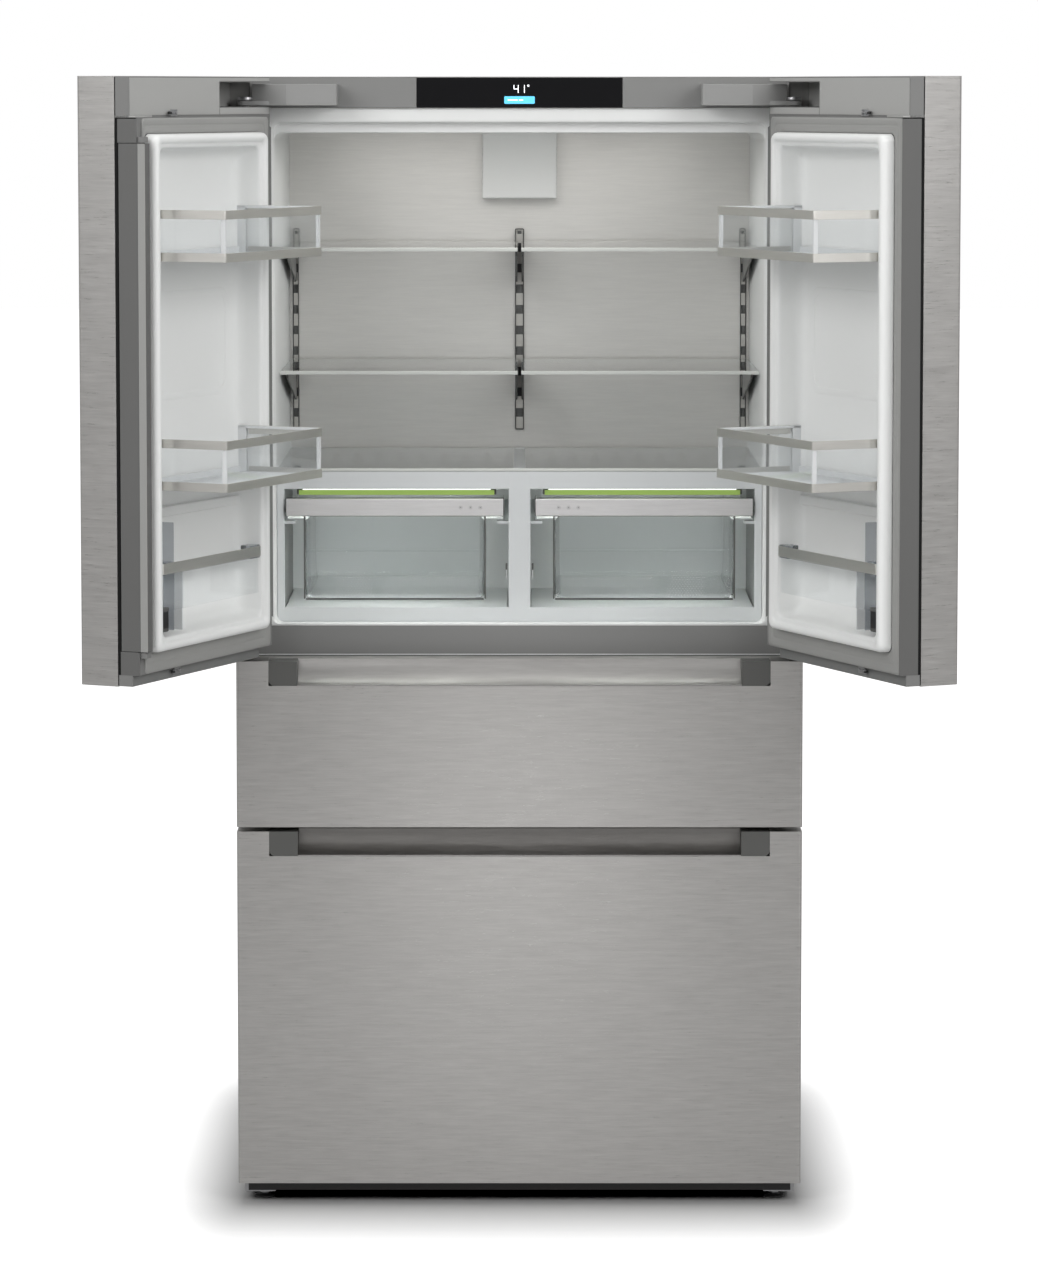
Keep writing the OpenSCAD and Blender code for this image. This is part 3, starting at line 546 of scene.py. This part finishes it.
    # inner face of the cap, round the hinge pocket
    p.prism([(-286.5, 1760.5), (-5, 1760.5), (-5, 1817.5), (-452.6, 1817.5), (-452.6, 1812.6), (-286.5, 1812.6)], "y", 90.6, 91.5, "cap", 0.3, 1)
    p.prism([(-452.6, 1760.5), (-288.5, 1760.5), (-288.5, 1770.5), (-452.6, 1770.5)], "y", 90.6, 91.5, "cap", 0.3, 1)
    p.box(-408.5, -5, 90.6, 91.4, 891.2, 904.5, "grey_box", 0.3, 1)
    # pale plates lining the hinge pocket: painted light, a light grey that brightens the pocket's shade
    p.box(-451.4, -288.6, 20.15, 20.75, 1772.4, 1810.6, "cap", 0.2, 1)
    p.box(-451.8, -451.2, 20.8, 55.4, 1772.4, 1810.6, "cap", 0.2, 1)
    # thin guide plate over the free corner of the inner door
    p.prism([(-3.0, 66.6), (-3.0, 103.8), (-30, 101.6), (-72, 92.2), (-72, 90.8), (-40, 66.6)], "z", 1757.2, 1760.2, "cap", 0.3, 1)
    # dark cover of the free side of the inner door
    for za, zb in (((907.6, 943.0), (1719.0, 1755.2)) if folding else ((907.6, 1755.2),)):
        p.box(-3.6, -2.5, 70.8, 104.0, za, zb, "strip", 0.2, 1)
    # black strip between the dark cover and the guide plate: a painted shadow line under the plate
    p.box(-3.5, -2.55, 68.0, 103.6, 1755.4, 1757.1, "rubber", 0.1, 1)
    p.done(tag + "_cap_plates", body, "grey_plastic", mt, mirror)
    # black seal strips in the groove beside the steel, also above and below the inner door: painted shadow, black that
    # stands in for the groove's shade
    p = Part()
    p.box(-5.6, -2.8, 66.15, 71.0, 907.2, 1756.5, "rubber", 0.4)
    p.box(-4.0, -2.7, 66.05, 67.3, 1760.4, 1818.2, "rubber", 0.2, 1)
    p.box(-4.0, -2.7, 66.05, 67.3, 891.0, 906.8, "rubber", 0.2, 1)
    p.done(tag + "_edge_seal_and_shadow_line", body, "gasket", mt, mirror)


door_set(-1, True)
door_set(1, False)

# rubber lip along the folding bar
p = Part()
p.box(-17.2, -3.2, 118.3, 118.48, 950, 1712, "gasket", 0.05, 1)
p.box(-18.2, -17.45, 76, 112, 948, 1714, "rubber", 0.3)
p.box(-3.3, -2.5, 72.4, 105.2, 944.3, 1717.7, "strip", 0.2, 1)
p.box(-3.3, -2.6, 105.6, 118.3, 944.3, 1717.7, "gasket", 0.25, 1)
p.done("mullion_seal", "mullion_bar", "gasket", LEFT)

# ------------------------------------------------------------------ fresh food space
p = Part()
W, IX = 431, 398


def lring(x, z0, z1, r, y):
    return (-x, x, z0, z1, r, y)


rear = [lring(401, 927, 1732, 16, 603), lring(401, 927, 1732, 16, 130.5), lring(401, 927, 1749, 16, 130), lring(401, 927, 1749, 16, 108),
        lring(430.8, 930.2, 1769.8, 2, 107.2), lring(430.8, 930.2, 1769.8, 2, 105), lring(430.2, 930.8, 1769.2, 2, 104.4)]
front = [lring(404, 924 + 9.2, 1752.5, 14, 104.35), lring(400.5, 931.2, 1748.6, 13, 104.8), lring(398.6, 930.6, 1746.6, 12, 106.6), lring(398, 930.2, 1746, 12, 110),
         lring(398, 930.2, 1746, 12, 124), lring(397.6, 930.4, 1744.5, 12, 126.4), lring(397.2, 930.8, 1741, 12, 127),
         lring(397, 931, 1733, 12, 127), lring(396.8, 931.2, 1730.2, 12, 127.8), lring(396.6, 931.4, 1729, 12, 131),
         lring(396.6, 931.4, 1729, 12, 594), lring(395.6, 932.4, 1728, 12, 598), lring(391, 937, 1723, 12, 600.0)]
p.rings(rear + front, "white", n=8)
ring_slot = p.slot("face_frame")
for f in p.bm.faces:
    c = f.calc_center_median()
    if c.y < 107.4 and abs(c.x) > 401 and 960 < c.z < 1740:
        f.material_index = ring_slot
p.done("fresh_food_liner", "cabinet", "liner_white", replaces=("fridge_liner",), sharp=50)

# shelf rails in the back wall: channel with slots, rim and top loop
p = Part()
for x, h in ((-385.5, 5.2), (0, 7.6), (385.5, 5.2)):
    z0, z1 = 1214, 1561
    # pressed channel: pale face, thin dark lips that close round both ends
    p.rings([(x - h, x + h, z0, z1, 2.5, 596.6), (x - h, x + h, z0, z1, 2.5, 589.4), (x - h + 0.3, x + h - 0.3, z0 + 0.3, z1 - 0.3, 2.3, 588.8),
             (x - h + 1.0, x + h - 1.0, z0 + 1.0, z1 - 1.0, 1.8, 588.8), (x - h + 1.3, x + h - 1.3, z0 + 1.3, z1 - 1.3, 1.6, 589.4), (x - h + 1.3, x + h - 1.3, z0 + 1.3, z1 - 1.3, 1.6, 596.4)],
            "bracket", loop=True, n=4)
    p.box(x - h + 1.4, x + h - 1.4, 593.8, 596.4, z0 + 1.4, z1 - 1.4, "rail", 0.3, 1)
    z = z0 + 22
    while z < z1 - 20:
        # hatched land between the hook slots
        p.box(x - h + 1.8, x + h - 1.8, 592.6, 594.2, z, z + 15, "print", 0.3, 1)
        for k in range(7):
            p.box(x - h + 2.0, x + h - 2.0, 592.2, 592.9, z + 1 + k * 2, z + 1.9 + k * 2, "dark", 0.1, 1)
        z += 35.6
    p.box(x - h * 0.45, x + h * 0.45, 590.0, 593.9, z1 - 9, z1 - 4, "bracket", 0.6)
p.done("shelf_channels", "cabinet", "wall_steel", replaces=("shelf_rails",))

# glass half shelves with ground front edges and rear trims
p, q = Part(), Part()
for z in (1540, 1337):
    for s in (-1, 1):
        x0, x1 = sorted((s * 3.0, s * 394.6))
        p.box(x0, x1, 240.6, 586, z - 5.6, z - 0.2, "glass", 0.8, 2)
        q.prism([(238.2, z - 6.0), (240.6, z - 6.0), (240.9, z - 5.5), (240.9, z - 0.5), (240.2, z - 0.1), (239.0, z - 0.1), (238.2, z - 1.2)],
                "x", x0, x1, "edge", 0.2, 1)
        q.box(x0, x1, 585.8, 587.8, z - 6, z + 1.6 - 1.8, "edge", 0.5)
        # support strips bonded under the glass at each side
        for xa in ((x0 + 0.4, x0 + 9), (x1 - 9, x1 - 0.4)):
            q.box(xa[0], xa[1], 243, 585, z - 6.9, z - 5.9, "rack_white", 0.3, 1)
o = p.done("shelf_glass_panes", "cabinet", "clear_glass", replaces=("glass_shelves",))
o.visible_shadow = False
q.done("shelf_trims", "cabinet", "clear_glass")

# top duct with side vents
p = Part()
p.rings([(-63.8, 63.8, 1613.2, 1728.3, 2.5, 596.6), (-63.8, 63.8, 1613.2, 1728.3, 2.5, 560), (-63.4, 63.4, 1613.6, 1727.9, 2.5, 558.4),
         (-62.2, 62.2, 1614.8, 1726.7, 2.5, 557.3), (-60.5, 60.5, 1616.5, 1725, 2.5, 557.0)], "duct", n=6)
for s in (-1, 1):
    for z in range(1636, 1706, 10):
        p.box(s * 63.7 - 0.25, s * 63.7 + 0.25, 570, 588, z, z + 4.5, "black", 0.1, 1)
p.done("air_duct", "cabinet", "duct_white", replaces=("duct_box",))

# ------------------------------------------------------------------ crisper unit
p = Part()
TOP = 1178
# face frame as one moulding with two openings
for x0, x1 in ((-396.3, -384), (-18, 18), (384, 396.3)):
    p.box(x0, x1, 150.2, 162, 931, TOP - 0.2, "frame_white", 1.6, 3)
p.box(-396.3, 396.3, 150.4, 162, 1149, TOP - 0.2, "frame_white", 1.6, 3)
p.box(-396.3, 396.3, 150.3, 162, 931, 955, "frame_white", 1.6, 3)
p.box(-6, 6, 161, 580, 931, TOP - 0.4, "frame_white", 0.8)
for s in (-1, 1):
    # side walls and divider faces of the bays in mid grey: painted shade on the white plastic
    a, b = sorted((s * 391, s * 396.3))
    p.box(a, b, 161, 580, 931, TOP - 0.4, "bay_painted_shade_grey", 0.8)
    a, b = sorted((s * 6.1, s * 7.0))
    p.box(a, b, 163, 569, 941.2, 1090, "bay_painted_shade_grey", 0.2, 1)
    for x0, x1 in ((s * 367, s * 392), (s * 5, s * 37)):
        x0, x1 = sorted((x0, x1))
        p.box(x0, x1, 161, 560, 1091, 1096, "frame_white", 0.8)
    # small catch on the frame beside each bin
    for xx in (s * 388, s * 21.5):
        p.box(xx - 1.4, xx + 1.4, 158, 168, 1006, 1026, "dark", 0.6)
        p.box(xx - 0.9, xx + 0.9, 150.8, 158.6, 1002, 1016, "rack_white", 0.5)
    # floor tray of each bay with a raised lip
    x0, x1 = sorted((s * 20, s * 389))
    p.box(x0, x1, 166, 568, 931.4, 941, "frame_white", 1.5, 3)
    p.box(x0 + 4, x1 - 4, 164, 170, 941, 949, "frame_white", 1.5, 3)
p.box(-396.3, 396.3, 570, 580, 931, TOP - 0.4, "frame_white", 0.8)
p.done("crisper_housing", "cabinet", "frame_white", replaces=("crisper_frame",))

# glass cover with rounded humps under it, front bead and the ribbed clip in the middle
p = Part()
p.box(-395.6, 395.6, 156, 587, TOP + 0.4, TOP + 5.0, "glass_cover", 0.8)
o = p.done("crisper_glass", "cabinet", "clear_glass", replaces=("crisper_cover",))
o.visible_shadow = False
p = Part()
nx, ny = 220, 26
rows = []
for j in range(ny + 1):
    y = 176 + (566 - 176) * j / ny
    row = []
    for i2 in range(nx + 1):
        x = -388 + 776 * i2 / nx
        wave = abs(math.sin(math.pi * (x + 388) / 37.0))
        env = min(1.0, min(y - 176, 566 - y) / 30.0)
        row.append((x, y, TOP - 28 + (3 + 22 * (1 - wave ** 1.6)) * max(0.15, env)))
    rows.append(row)
t = bmesh.new()
vs = [[t.verts.new(c) for c in r] for r in rows]
bt = [[t.verts.new((c[0], c[1], c[2] - 2.0)) for c in r] for r in rows]
for j in range(ny):
    for i2 in range(nx):
        t.faces.new([vs[j][i2], vs[j][i2 + 1], vs[j + 1][i2 + 1], vs[j + 1][i2]])
        t.faces.new([bt[j][i2], bt[j + 1][i2], bt[j + 1][i2 + 1], bt[j][i2 + 1]])
for j in range(ny):
    t.faces.new([vs[j][0], vs[j + 1][0], bt[j + 1][0], bt[j][0]])
    t.faces.new([vs[j][nx], bt[j][nx], bt[j + 1][nx], vs[j + 1][nx]])
for i2 in range(nx):
    t.faces.new([vs[0][i2], bt[0][i2], bt[0][i2 + 1], vs[0][i2 + 1]])
    t.faces.new([vs[ny][i2], vs[ny][i2 + 1], bt[ny][i2 + 1], bt[ny][i2]])
p.take(t, "humps")
p.done("crisper_humped_tray", "cabinet", "clear_plastic", sharp=80, weighted=False)
p = Part()
p.box(-396, 396, 150.2, 156.6, TOP + 0.3, TOP + 5.0, "edge", 0.9, 3)
p.box(-396, 396, 584.6, 588, TOP + 0.3, TOP + 5.2, "edge", 0.6)
p.box(-9.5, 9.5, 152, 588, TOP + 0.25, TOP + 5.1, "rack_white", 0.5)
for k in range(12):
    p.box(-8.6 + k * 1.5, -8.0 + k * 1.5, 154, 560, TOP + 5.0, TOP + 5.2, "print", 0.05, 1)
p.done("crisper_cover_trims", "cabinet", "clear_glass")

# light strips over the bins
p = Part()
for s in (-1, 1):
    x0, x1 = sorted((s * 44, s * 358))
    p.box(x0, x1, 163.4, 174.8, 1147, 1151, "lamp", 1.2, 3)
    p.box(x0 - 3.6, x1 + 3.6, 165, 174.8, 1150.8, 1177.2, "rack_white", 0.8)
    p.box(x0 - 3, x1 + 3, 163.2, 165.2, 1138.4, 1146.6, "green", 0.7)
    for xe in (x0 - 6, x1 - 4):
        p.box(xe, xe + 10, 163.4, 175, 1139, 1149, "dark", 1.0)
p.done("crisper_light_strips", "cabinet", "lamp", replaces=("crisper_lamps",))

for side, tag in ((-1, "left"), (1, "right")):
    body = tag + "_crisper"
    mirror = side == 1
    p = Part()
    # bin: open shell with rounded corners, a drawn-in foot and a rolled flange
    p.rings_xy([(-330, -78, 180, 517, 14, 965.2), (-344, -64, 167, 530.6, 14, 965.2), (-348, -60, 163.4, 534.8, 12, 967.4), (-350.6, -57.4, 160.8, 537, 10, 975),
                (-352.6, -55.4, 160.6, 539.4, 9, 1030), (-352.6, -55.4, 160.6, 539.4, 9, 1104.2), (-352.2, -55.8, 161, 539, 9, 1104.6),
                (-350.2, -57.8, 162.8, 537.2, 8, 1104.6), (-349.8, -58.2, 163.2, 536.8, 8, 1104.2), (-349.8, -58.2, 163.2, 536.8, 8, 1030), (-348, -60, 163.2, 534.6, 9, 977),
                (-346.4, -61.6, 165.4, 532.6, 11, 970.4), (-344, -64, 168.6, 529, 13, 968.2), (-330, -78, 180, 517, 14, 968)], "clear", n=7)
    # shallow steps in the front panel
    p.box(-349, -59, 159.9, 161.2, 1046, 1048.4, "clear", 0.4)
    o = p.done(tag + "_crisper_shell", body, "clear_plastic", CAB, mirror, (tag + "_crisper_bin",), 50)
    o.visible_shadow = False
    p = Part()
    for x0, x1 in ((-381.8, -349), (-59, -25.2)):
        p.box(x0, x1, 166.2, 539.8, 1097.2, 1099.6, "rack_white", 0.8)
        xr = x0 + 1.2 if x0 < -200 else x1 - 3.2
        p.box(xr, xr + 2, 166.4, 539.4, 1099, 1104.8, "rack_white", 0.7)
    # front uprights beside the clear panel
    for xa, xb in ((-353.0, -350.6), (-57.4, -55.0)):
        p.box(xa, xb, 160.2, 166, 968, 1104.6, "dark", 0.6)
    p.box(-349.6, -58.4, 160.4, 162.6, 966.0, 969.4, "dark", 0.6)
    p.done(tag + "_crisper_flanges", body, "rack_white", CAB, mirror)
    # fine dotted field printed on the clear front
    t = bmesh.new()
    for r in range(18):
        for c in range(13):
            x = -300 + c * 5.0 + (2.5 if r % 2 else 0)
            z = 974 + r * 3.6
            if x > -300 + 62 - r * 1.4:
                continue
            vsq = [t.verts.new((x + dx, 160.55, z + dz)) for dx, dz in ((-0.8, 0), (0, -0.8), (0.8, 0), (0, 0.8))]
            vsb = [t.verts.new((v.co.x, 160.15, v.co.z)) for v in vsq]
            t.faces.new(vsq)
            t.faces.new(vsb[::-1])
            for k in range(4):
                t.faces.new([vsq[k], vsb[k], vsb[(k + 1) % 4], vsq[(k + 1) % 4]])
    p = Part()
    p.take(t, "rack_white")
    p.done(tag + "_crisper_dots", body, "clear_plastic", CAB, mirror, weighted=False)
    p = Part()
    # handle bar: brushed face, dark carrier, grip slot under it
    p.prism([(143.2, 1107.2), (144.4, 1105.6), (148.2, 1105.5), (148.2, 1128.6), (164, 1128.8), (165.4, 1130.2), (165.4, 1132.4), (163.6, 1133.8), (145.2, 1133.8), (143.2, 1132.0)],
            "x", -380.6, -26.4, "handle", 0.35, 2)
    p.box(-381.8, -380.4, 144, 165.4, 1105.6, 1133.6, "black", 0.4)
    p.box(-26.6, -25.2, 144, 165.4, 1105.6, 1133.6, "black", 0.4)
    p.box(-380, -27, 148, 150.4, 1104.6, 1106.4, "black", 0.4)
    p.box(-380.4, -26.6, 149, 165.2, 1131.8, 1133.9, "black", 0.4)
    for k in range(3):
        ic = -96 + k * 16
        ring = [(ic + 2.6 * math.cos(a), 0, 1119.5 + 2.6 * math.sin(a)) for a in [math.radians(20 * q2) for q2 in range(18)]]
        p.tube([(x, 143.15, z) for x, _, z in ring], 0.22, "print", 6, closed=True)
        p.box(ic - 0.9, ic + 0.9, 143.0, 143.3, 1118.7, 1120.3, "print", 0.05, 1)
    p.done(tag + "_crisper_grip", body, "rail_metal", CAB, mirror, (tag + "_crisper_handle",))

# ------------------------------------------------------------------ control panel
p = Part()
p.rings([(-165.4, 165.4, 1770.4, 1818.3, 0.8, 101.8), (-165.4, 165.4, 1770.4, 1818.3, 0.8, 97.3), (-164.9, 164.9, 1770.9, 1817.8, 0.8, 96.7),
         (-164.3, 164.3, 1771.5, 1817.2, 0.8, 96.55)], "black_glass", n=4)
p.done("control_glass", "cabinet", "black_glass", replaces=("control_panel",))
p = Part()


def seg7(p, x, z, w, h, on, t=1.15, y=96.3):
    """One generic seven-segment figure."""
    s = 0.35
    bars = {"a": (x + s, x + w - s, z + h - t, z + h), "d": (x + s, x + w - s, z, z + t), "g": (x + s, x + w - s, z + h / 2 - t / 2, z + h / 2 + t / 2),
            "f": (x, x + t, z + h / 2 + s, z + h - s), "b": (x + w - t, x + w, z + h / 2 + s, z + h - s),
            "e": (x, x + t, z + s, z + h / 2 - s), "c": (x + w - t, x + w, z + s, z + h / 2 - s)}
    for k in on:
        a, b, c, d = bars[k]
        p.box(a, b, y, y + 0.3, c, d, "digit", 0.12, 1)


seg7(p, -9.5, 1793.5, 8, 13.5, "fgbc")
seg7(p, 0.5, 1793.5, 8, 13.5, "bc")
for a, b, c, d in ((12.6, 15.6, 1806.3, 1807.0), (12.6, 15.6, 1804.0, 1804.7), (12.6, 13.3, 1804.8, 1806.2), (14.9, 15.6, 1804.8, 1806.2)):
    p.box(a, b, 96.3, 96.6, c, d, "digit", 0.08, 1)
p.rings([(-24.5, 24.5, 1776.5, 1788.5, 1.6, 96.6), (-24.5, 24.5, 1776.5, 1788.5, 1.6, 96.35), (-24.1, 24.1, 1776.9, 1788.1, 1.6, 96.25)], "blue", n=5)
for x0, x1 in ((-19, -3), (-1, 6)):
    p.box(x0, x1, 96.12, 96.3, 1781.8, 1783.2, "digit", 0.06, 1)
p.done("display_marks", "cabinet", "black_glass")

# ------------------------------------------------------------------ hinge trims, feet, front details
for side, tag in ((-1, "left"), (1, "right")):
    p = Part()
    # cover line and screw caps on the hinge block
    p.turned([(0.5, 0), (7.2, 0.0), (8.0, -0.6), (8.0, -2.6)], (-332, 60, 1808.4), "z", "grey_box", 32)
    p.turned([(0.5, 0), (3.4, 0.0), (3.8, -0.4), (3.8, -2.0)], (-402, 66, 1808.3), "z", "zinc", 24)
    p.turned([(0.5, 0), (3.4, 0.0), (3.8, -0.4), (3.8, -2.0)], (-402, 84, 1808.3), "z", "zinc", 24)
    p.turned([(0.4, 0), (10.5, 0.0), (12.2, 0.6), (12.6, 1.6), (12.6, 5.2), (12.0, 6.0), (0.4, 6.0)], (-439, 55, 1781.3), "z", "zinc", 40)
    p.done(tag + "_hinge_details", "cabinet", "hinge_grey", CAB, side == 1)

p = Part()
for s in (-1, 1):
    x = s * 415
    p.turned([(14.5, 0.0), (16.6, 0.2), (17.0, 0.9), (16.8, 2.2), (15.4, 3.2), (10.4, 4.4), (9.0, 5.4), (8.8, 6.9), (5.2, 7.0)], (x, 55, 0), "z", "black", 48)
    # hex nut
    pts = [(x + 8.4 * math.cos(math.radians(60 * k + 15)), 55 + 8.4 * math.sin(math.radians(60 * k + 15))) for k in range(6)]
    p.prism(pts, "z", 7.0, 12.0, "zinc", 0.6, 2)
    # threaded spindle
    prof = [(3.6, 11.8)]
    z = 12.0
    while z < 30.4:
        prof += [(4.9, z + 0.35), (4.2, z + 0.85)]
        z += 1.0
    prof += [(4.6, 30.8), (3.6, 31.0)]
    p.turned(prof, (x, 55, 0), "z", "zinc", 32)
p.done("levelling_feet", "cabinet", "zinc", replaces=("feet",), sharp=60)

# grip strip: light lip line, seal behind the steel edges
for tag, z1 in (("upper", 885), ("freezer", 609)):
    p = Part()
    p.box(-356.4, 356.4, 0.15, 1.5, z1 - 39.8, z1 - 38.6, "steel_edge", 0.35)
    p.box(-403, -402.3, 0.6, 44, z1 - 30, z1 - 1, "rubber", 0.2, 1)
    p.box(402.3, 403, 0.6, 44, z1 - 30, z1 - 1, "rubber", 0.2, 1)
    p.done(tag + "_grip_lines", tag + "_drawer", "steel")

# ------------------------------------------------------------------ drawers: seals and bins
for tag, z0, z1 in (("upper", 616, 885), ("freezer", 34, 609)):
    p = Part()
    a = (-428, 428, z0 + 3, z1 - 3)
    b = (-398.4, 398.4, z0 + 23.6, z1 - 23.6)

    def mx(t):
        return tuple(a[k] + (b[k] - a[k]) * t for k in range(4))
    p.rings([(*mx(0.02), 6, 101), (*mx(0.0), 7, 101.9), (*mx(0.05), 7, 103.2), (*mx(0.13), 8, 103.9), (*mx(0.34), 9, 104),
             (*mx(0.42), 9, 103.2), (*mx(0.47), 9, 102.9), (*mx(0.52), 9, 103.2), (*mx(0.60), 10, 103.9), (*mx(0.86), 10, 104),
             (*mx(0.95), 11, 103.2), (*mx(1.0), 11, 102.2), (*mx(0.99), 11, 101)], "gasket", loop=True, n=7)
    p.done(tag + "_drawer_seal", tag + "_drawer", "gasket", replaces=(tag + "_drawer_gasket",), sharp=50)

for tag, z0, z1, y1, zr in (("upper", 644, 842, 560, 746), ("freezer", 70, 520, 490, 461)):
    p = Part()
    p.rings_xy([(-350, 350, 122, y1 - 22, 20, z0 + 0.2), (-358, 358, 116, y1 - 16, 20, z0 + 0.2), (-366, 366, 108, y1 - 8, 18, z0 + 1.4), (-371, 371, 103.5, y1 - 3, 14, z0 + 8),
                (-373.8, 373.8, 101.4, y1 - 0.2, 12, z0 + 30), (-373.8, 373.8, 101.4, y1 - 0.2, 12, z1 - 2), (-373.2, 373.2, 102, y1 - 0.8, 12, z1 - 0.8),
                (-371.8, 371.8, 103.2, y1 - 2.2, 11.5, z1 - 0.1), (-370.4, 370.4, 104.6, y1 - 3.4, 10.5, z1 - 0.8), (-369.8, 369.8, 105.2, y1 - 4, 10, z1 - 3),
                (-369.8, 369.8, 105.2, y1 - 4, 10, z0 + 32), (-367.6, 367.6, 107, y1 - 6.4, 13, z0 + 12), (-363, 363, 111, y1 - 11, 17, z0 + 6),
                (-357, 357, 117, y1 - 17, 19, z0 + 4.2), (-350, 350, 122, y1 - 22, 20, z0 + 4)], "white", n=8)
    # low ribs across the floor of the bin
    for k in range(5):
        yr = 160 + k * (y1 - 220) / 4
        p.box(-330, 330, yr, yr + 5, z0 + 3.6, z0 + 5.4, "white", 0.8)
    for s in (-1, 1):
        a, b = sorted((s * 373.6, s * 384))
        p.box(a, b, 121.2, y1 - 0.2, zr + 0.2, zr + 21.8, "zinc", 0.8)
        a, b = sorted((s * 383, s * 392.8))
        p.box(a, b, 121.2, y1 - 0.2, zr + 4.2, zr + 17.8, "zinc", 0.8)
    p.done(tag + "_drawer_box", tag + "_drawer", "liner_white", replaces=(tag + "_drawer_bin",), sharp=50)

# ------------------------------------------------------------------ floor, world, lights, camera
stage = bpy.data.meshes.new("floor")
t = bmesh.new()
bmesh.ops.create_grid(t, x_segments=2, y_segments=2, size=30)
t.to_mesh(stage)
t.free()
floor = bpy.data.objects.new("floor", stage)
SCENE.collection.objects.link(floor)
fm = Nodes("studio_floor")
fm.set(Roughness=0.75)
fm.bsdf.inputs["Specular IOR Level"].default_value = 0.2
fm.tint((0.50, 0.50, 0.50), fm.remap(fm.noise((0.7, 0.7, 0.7), 2, 0.5, 0.0), 0.99, 1.01))
fm.bsdf.inputs["Emission Color"].default_value = (1, 1, 1, 1)
seen_lp = fm.n("ShaderNodeLightPath")
# painted contact shadow: the floor's camera-only glow is weakest at the footprint and rises with distance from it
sep = fm.n("ShaderNodeSeparateXYZ")
fm.link(fm.co, sep.inputs[0])
fx = fm.math("MAXIMUM", fm.math("SUBTRACT", fm.math("ABSOLUTE", sep.outputs[0], 0), 0.44), 0.0)
fy = fm.math("MAXIMUM", fm.math("MAXIMUM", fm.math("SUBTRACT", Y0 + 0.02, sep.outputs[1]), fm.math("SUBTRACT", sep.outputs[1], 0.54)), 0.0)
far = fm.math("SQRT", fm.math("ADD", fm.math("MULTIPLY", fm.math("MULTIPLY", fx, fx), 6.0), fm.math("MULTIPLY", fy, fy)), 0)
painted_shadow_glow = fm.remap(far, -0.05, 0.85, 0.02, 0.34)
fm.link(fm.math("MULTIPLY", seen_lp.outputs["Is Camera Ray"], painted_shadow_glow), fm.bsdf.inputs["Emission Strength"])
stage.materials.append(fm.m)

w = bpy.data.worlds.new("studio")
SCENE.world = w
w.use_nodes = True
nt = w.node_tree
for n in list(nt.nodes):
    nt.nodes.remove(n)


def wn(kind, **kw):
    n = nt.nodes.new(kind)
    for k, v in kw.items():
        setattr(n, k, v)
    return n


def wmath(op, a, b=None):
    n = wn("ShaderNodeMath", operation=op)
    for i, v in enumerate((a, b)):
        if v is None:
            continue
        if isinstance(v, (int, float)):
            n.inputs[i].default_value = v
        else:
            nt.links.new(v, n.inputs[i])
    return n.outputs[0]


tc = wn("ShaderNodeTexCoord")
sp = wn("ShaderNodeSeparateXYZ")
nt.links.new(tc.outputs["Generated"], sp.inputs[0])
x, y, z = sp.outputs
# pale cyclorama: brighter overhead and to both sides than straight ahead
over = wmath("MAXIMUM", z, 0.0)
lum = wmath("ADD", 0.29, wmath("MULTIPLY", wmath("MULTIPLY", x, x), 0.34))
lum = wmath("ADD", lum, wmath("MULTIPLY", over, 0.30))
env = wn("ShaderNodeBackground")
nt.links.new(lum, env.inputs["Strength"])
env.inputs["Color"].default_value = (1.0, 0.998, 0.992, 1)
seen = wn("ShaderNodeBackground")
seen.inputs["Strength"].default_value = 1.0
seen.inputs["Color"].default_value = (1, 1, 1, 1)
lp = wn("ShaderNodeLightPath")
mixs = wn("ShaderNodeMixShader")
out = wn("ShaderNodeOutputWorld")
nt.links.new(lp.outputs["Is Camera Ray"], mixs.inputs[0])
nt.links.new(env.outputs[0], mixs.inputs[1])
nt.links.new(seen.outputs[0], mixs.inputs[2])
nt.links.new(mixs.outputs[0], out.inputs[0])


def area(name, loc, size, energy, aim, color=(1, 1, 1), spread=180):
    ld = bpy.data.lights.new(name, "AREA")
    ld.shape = "RECTANGLE"
    ld.size, ld.size_y = size
    ld.energy = energy
    ld.color = color
    ld.spread = math.radians(spread)
    o = bpy.data.objects.new(name, ld)
    SCENE.collection.objects.link(o)
    o.location = loc
    o.rotation_mode = "QUATERNION"
    o.rotation_quaternion = (Vector(aim) - Vector(loc)).to_track_quat("-Z", "Y")
    return o


def local(x, y, z):
    return CAB @ Vector((x * MM, y * MM, z * MM))


area("key_soft", (-2.2, -3.2, 3.0), (2.4, 1.8), 52, (0, 0, 1.1))
area("fill_soft", (2.3, -3.1, 2.8), (2.0, 2.0), 52, (0, 0, 1.1))
area("overhead", (0, 0.5, 4.4), (3.2, 3.2), 26, (0, 0.1, 0))
strip = area("front_strip", (0, Y0 - 2.3, 0.15), (0.6, 1.0), 1.7, (0, Y0, 0.5))
strip.visible_camera = False
# fresh food lighting: a strip in the ceiling and one over each crisper bin
area("inside_top", local(0, 330, 1722), (0.6, 0.34), 0.95, local(0, 420, 900), (1.0, 0.99, 0.965))
for s in (-1, 1):
    area(f"crisper_{s + 1}", local(s * 203, 190, 1140), (0.3, 0.02), 0.40, local(s * 203, 300, 960), (0.97, 1.0, 0.95))

cam = bpy.data.cameras.new("camera")
cam.sensor_width = 36
cam.lens = 128.84
cam.shift_y = -0.145
co = bpy.data.objects.new("camera", cam)
SCENE.collection.objects.link(co)
co.location = (0, Y0 - 7.3, 1.80)
co.rotation_euler = (math.radians(90 - 4.559), 0, 0)
cam.clip_end = 200
SCENE.camera = co
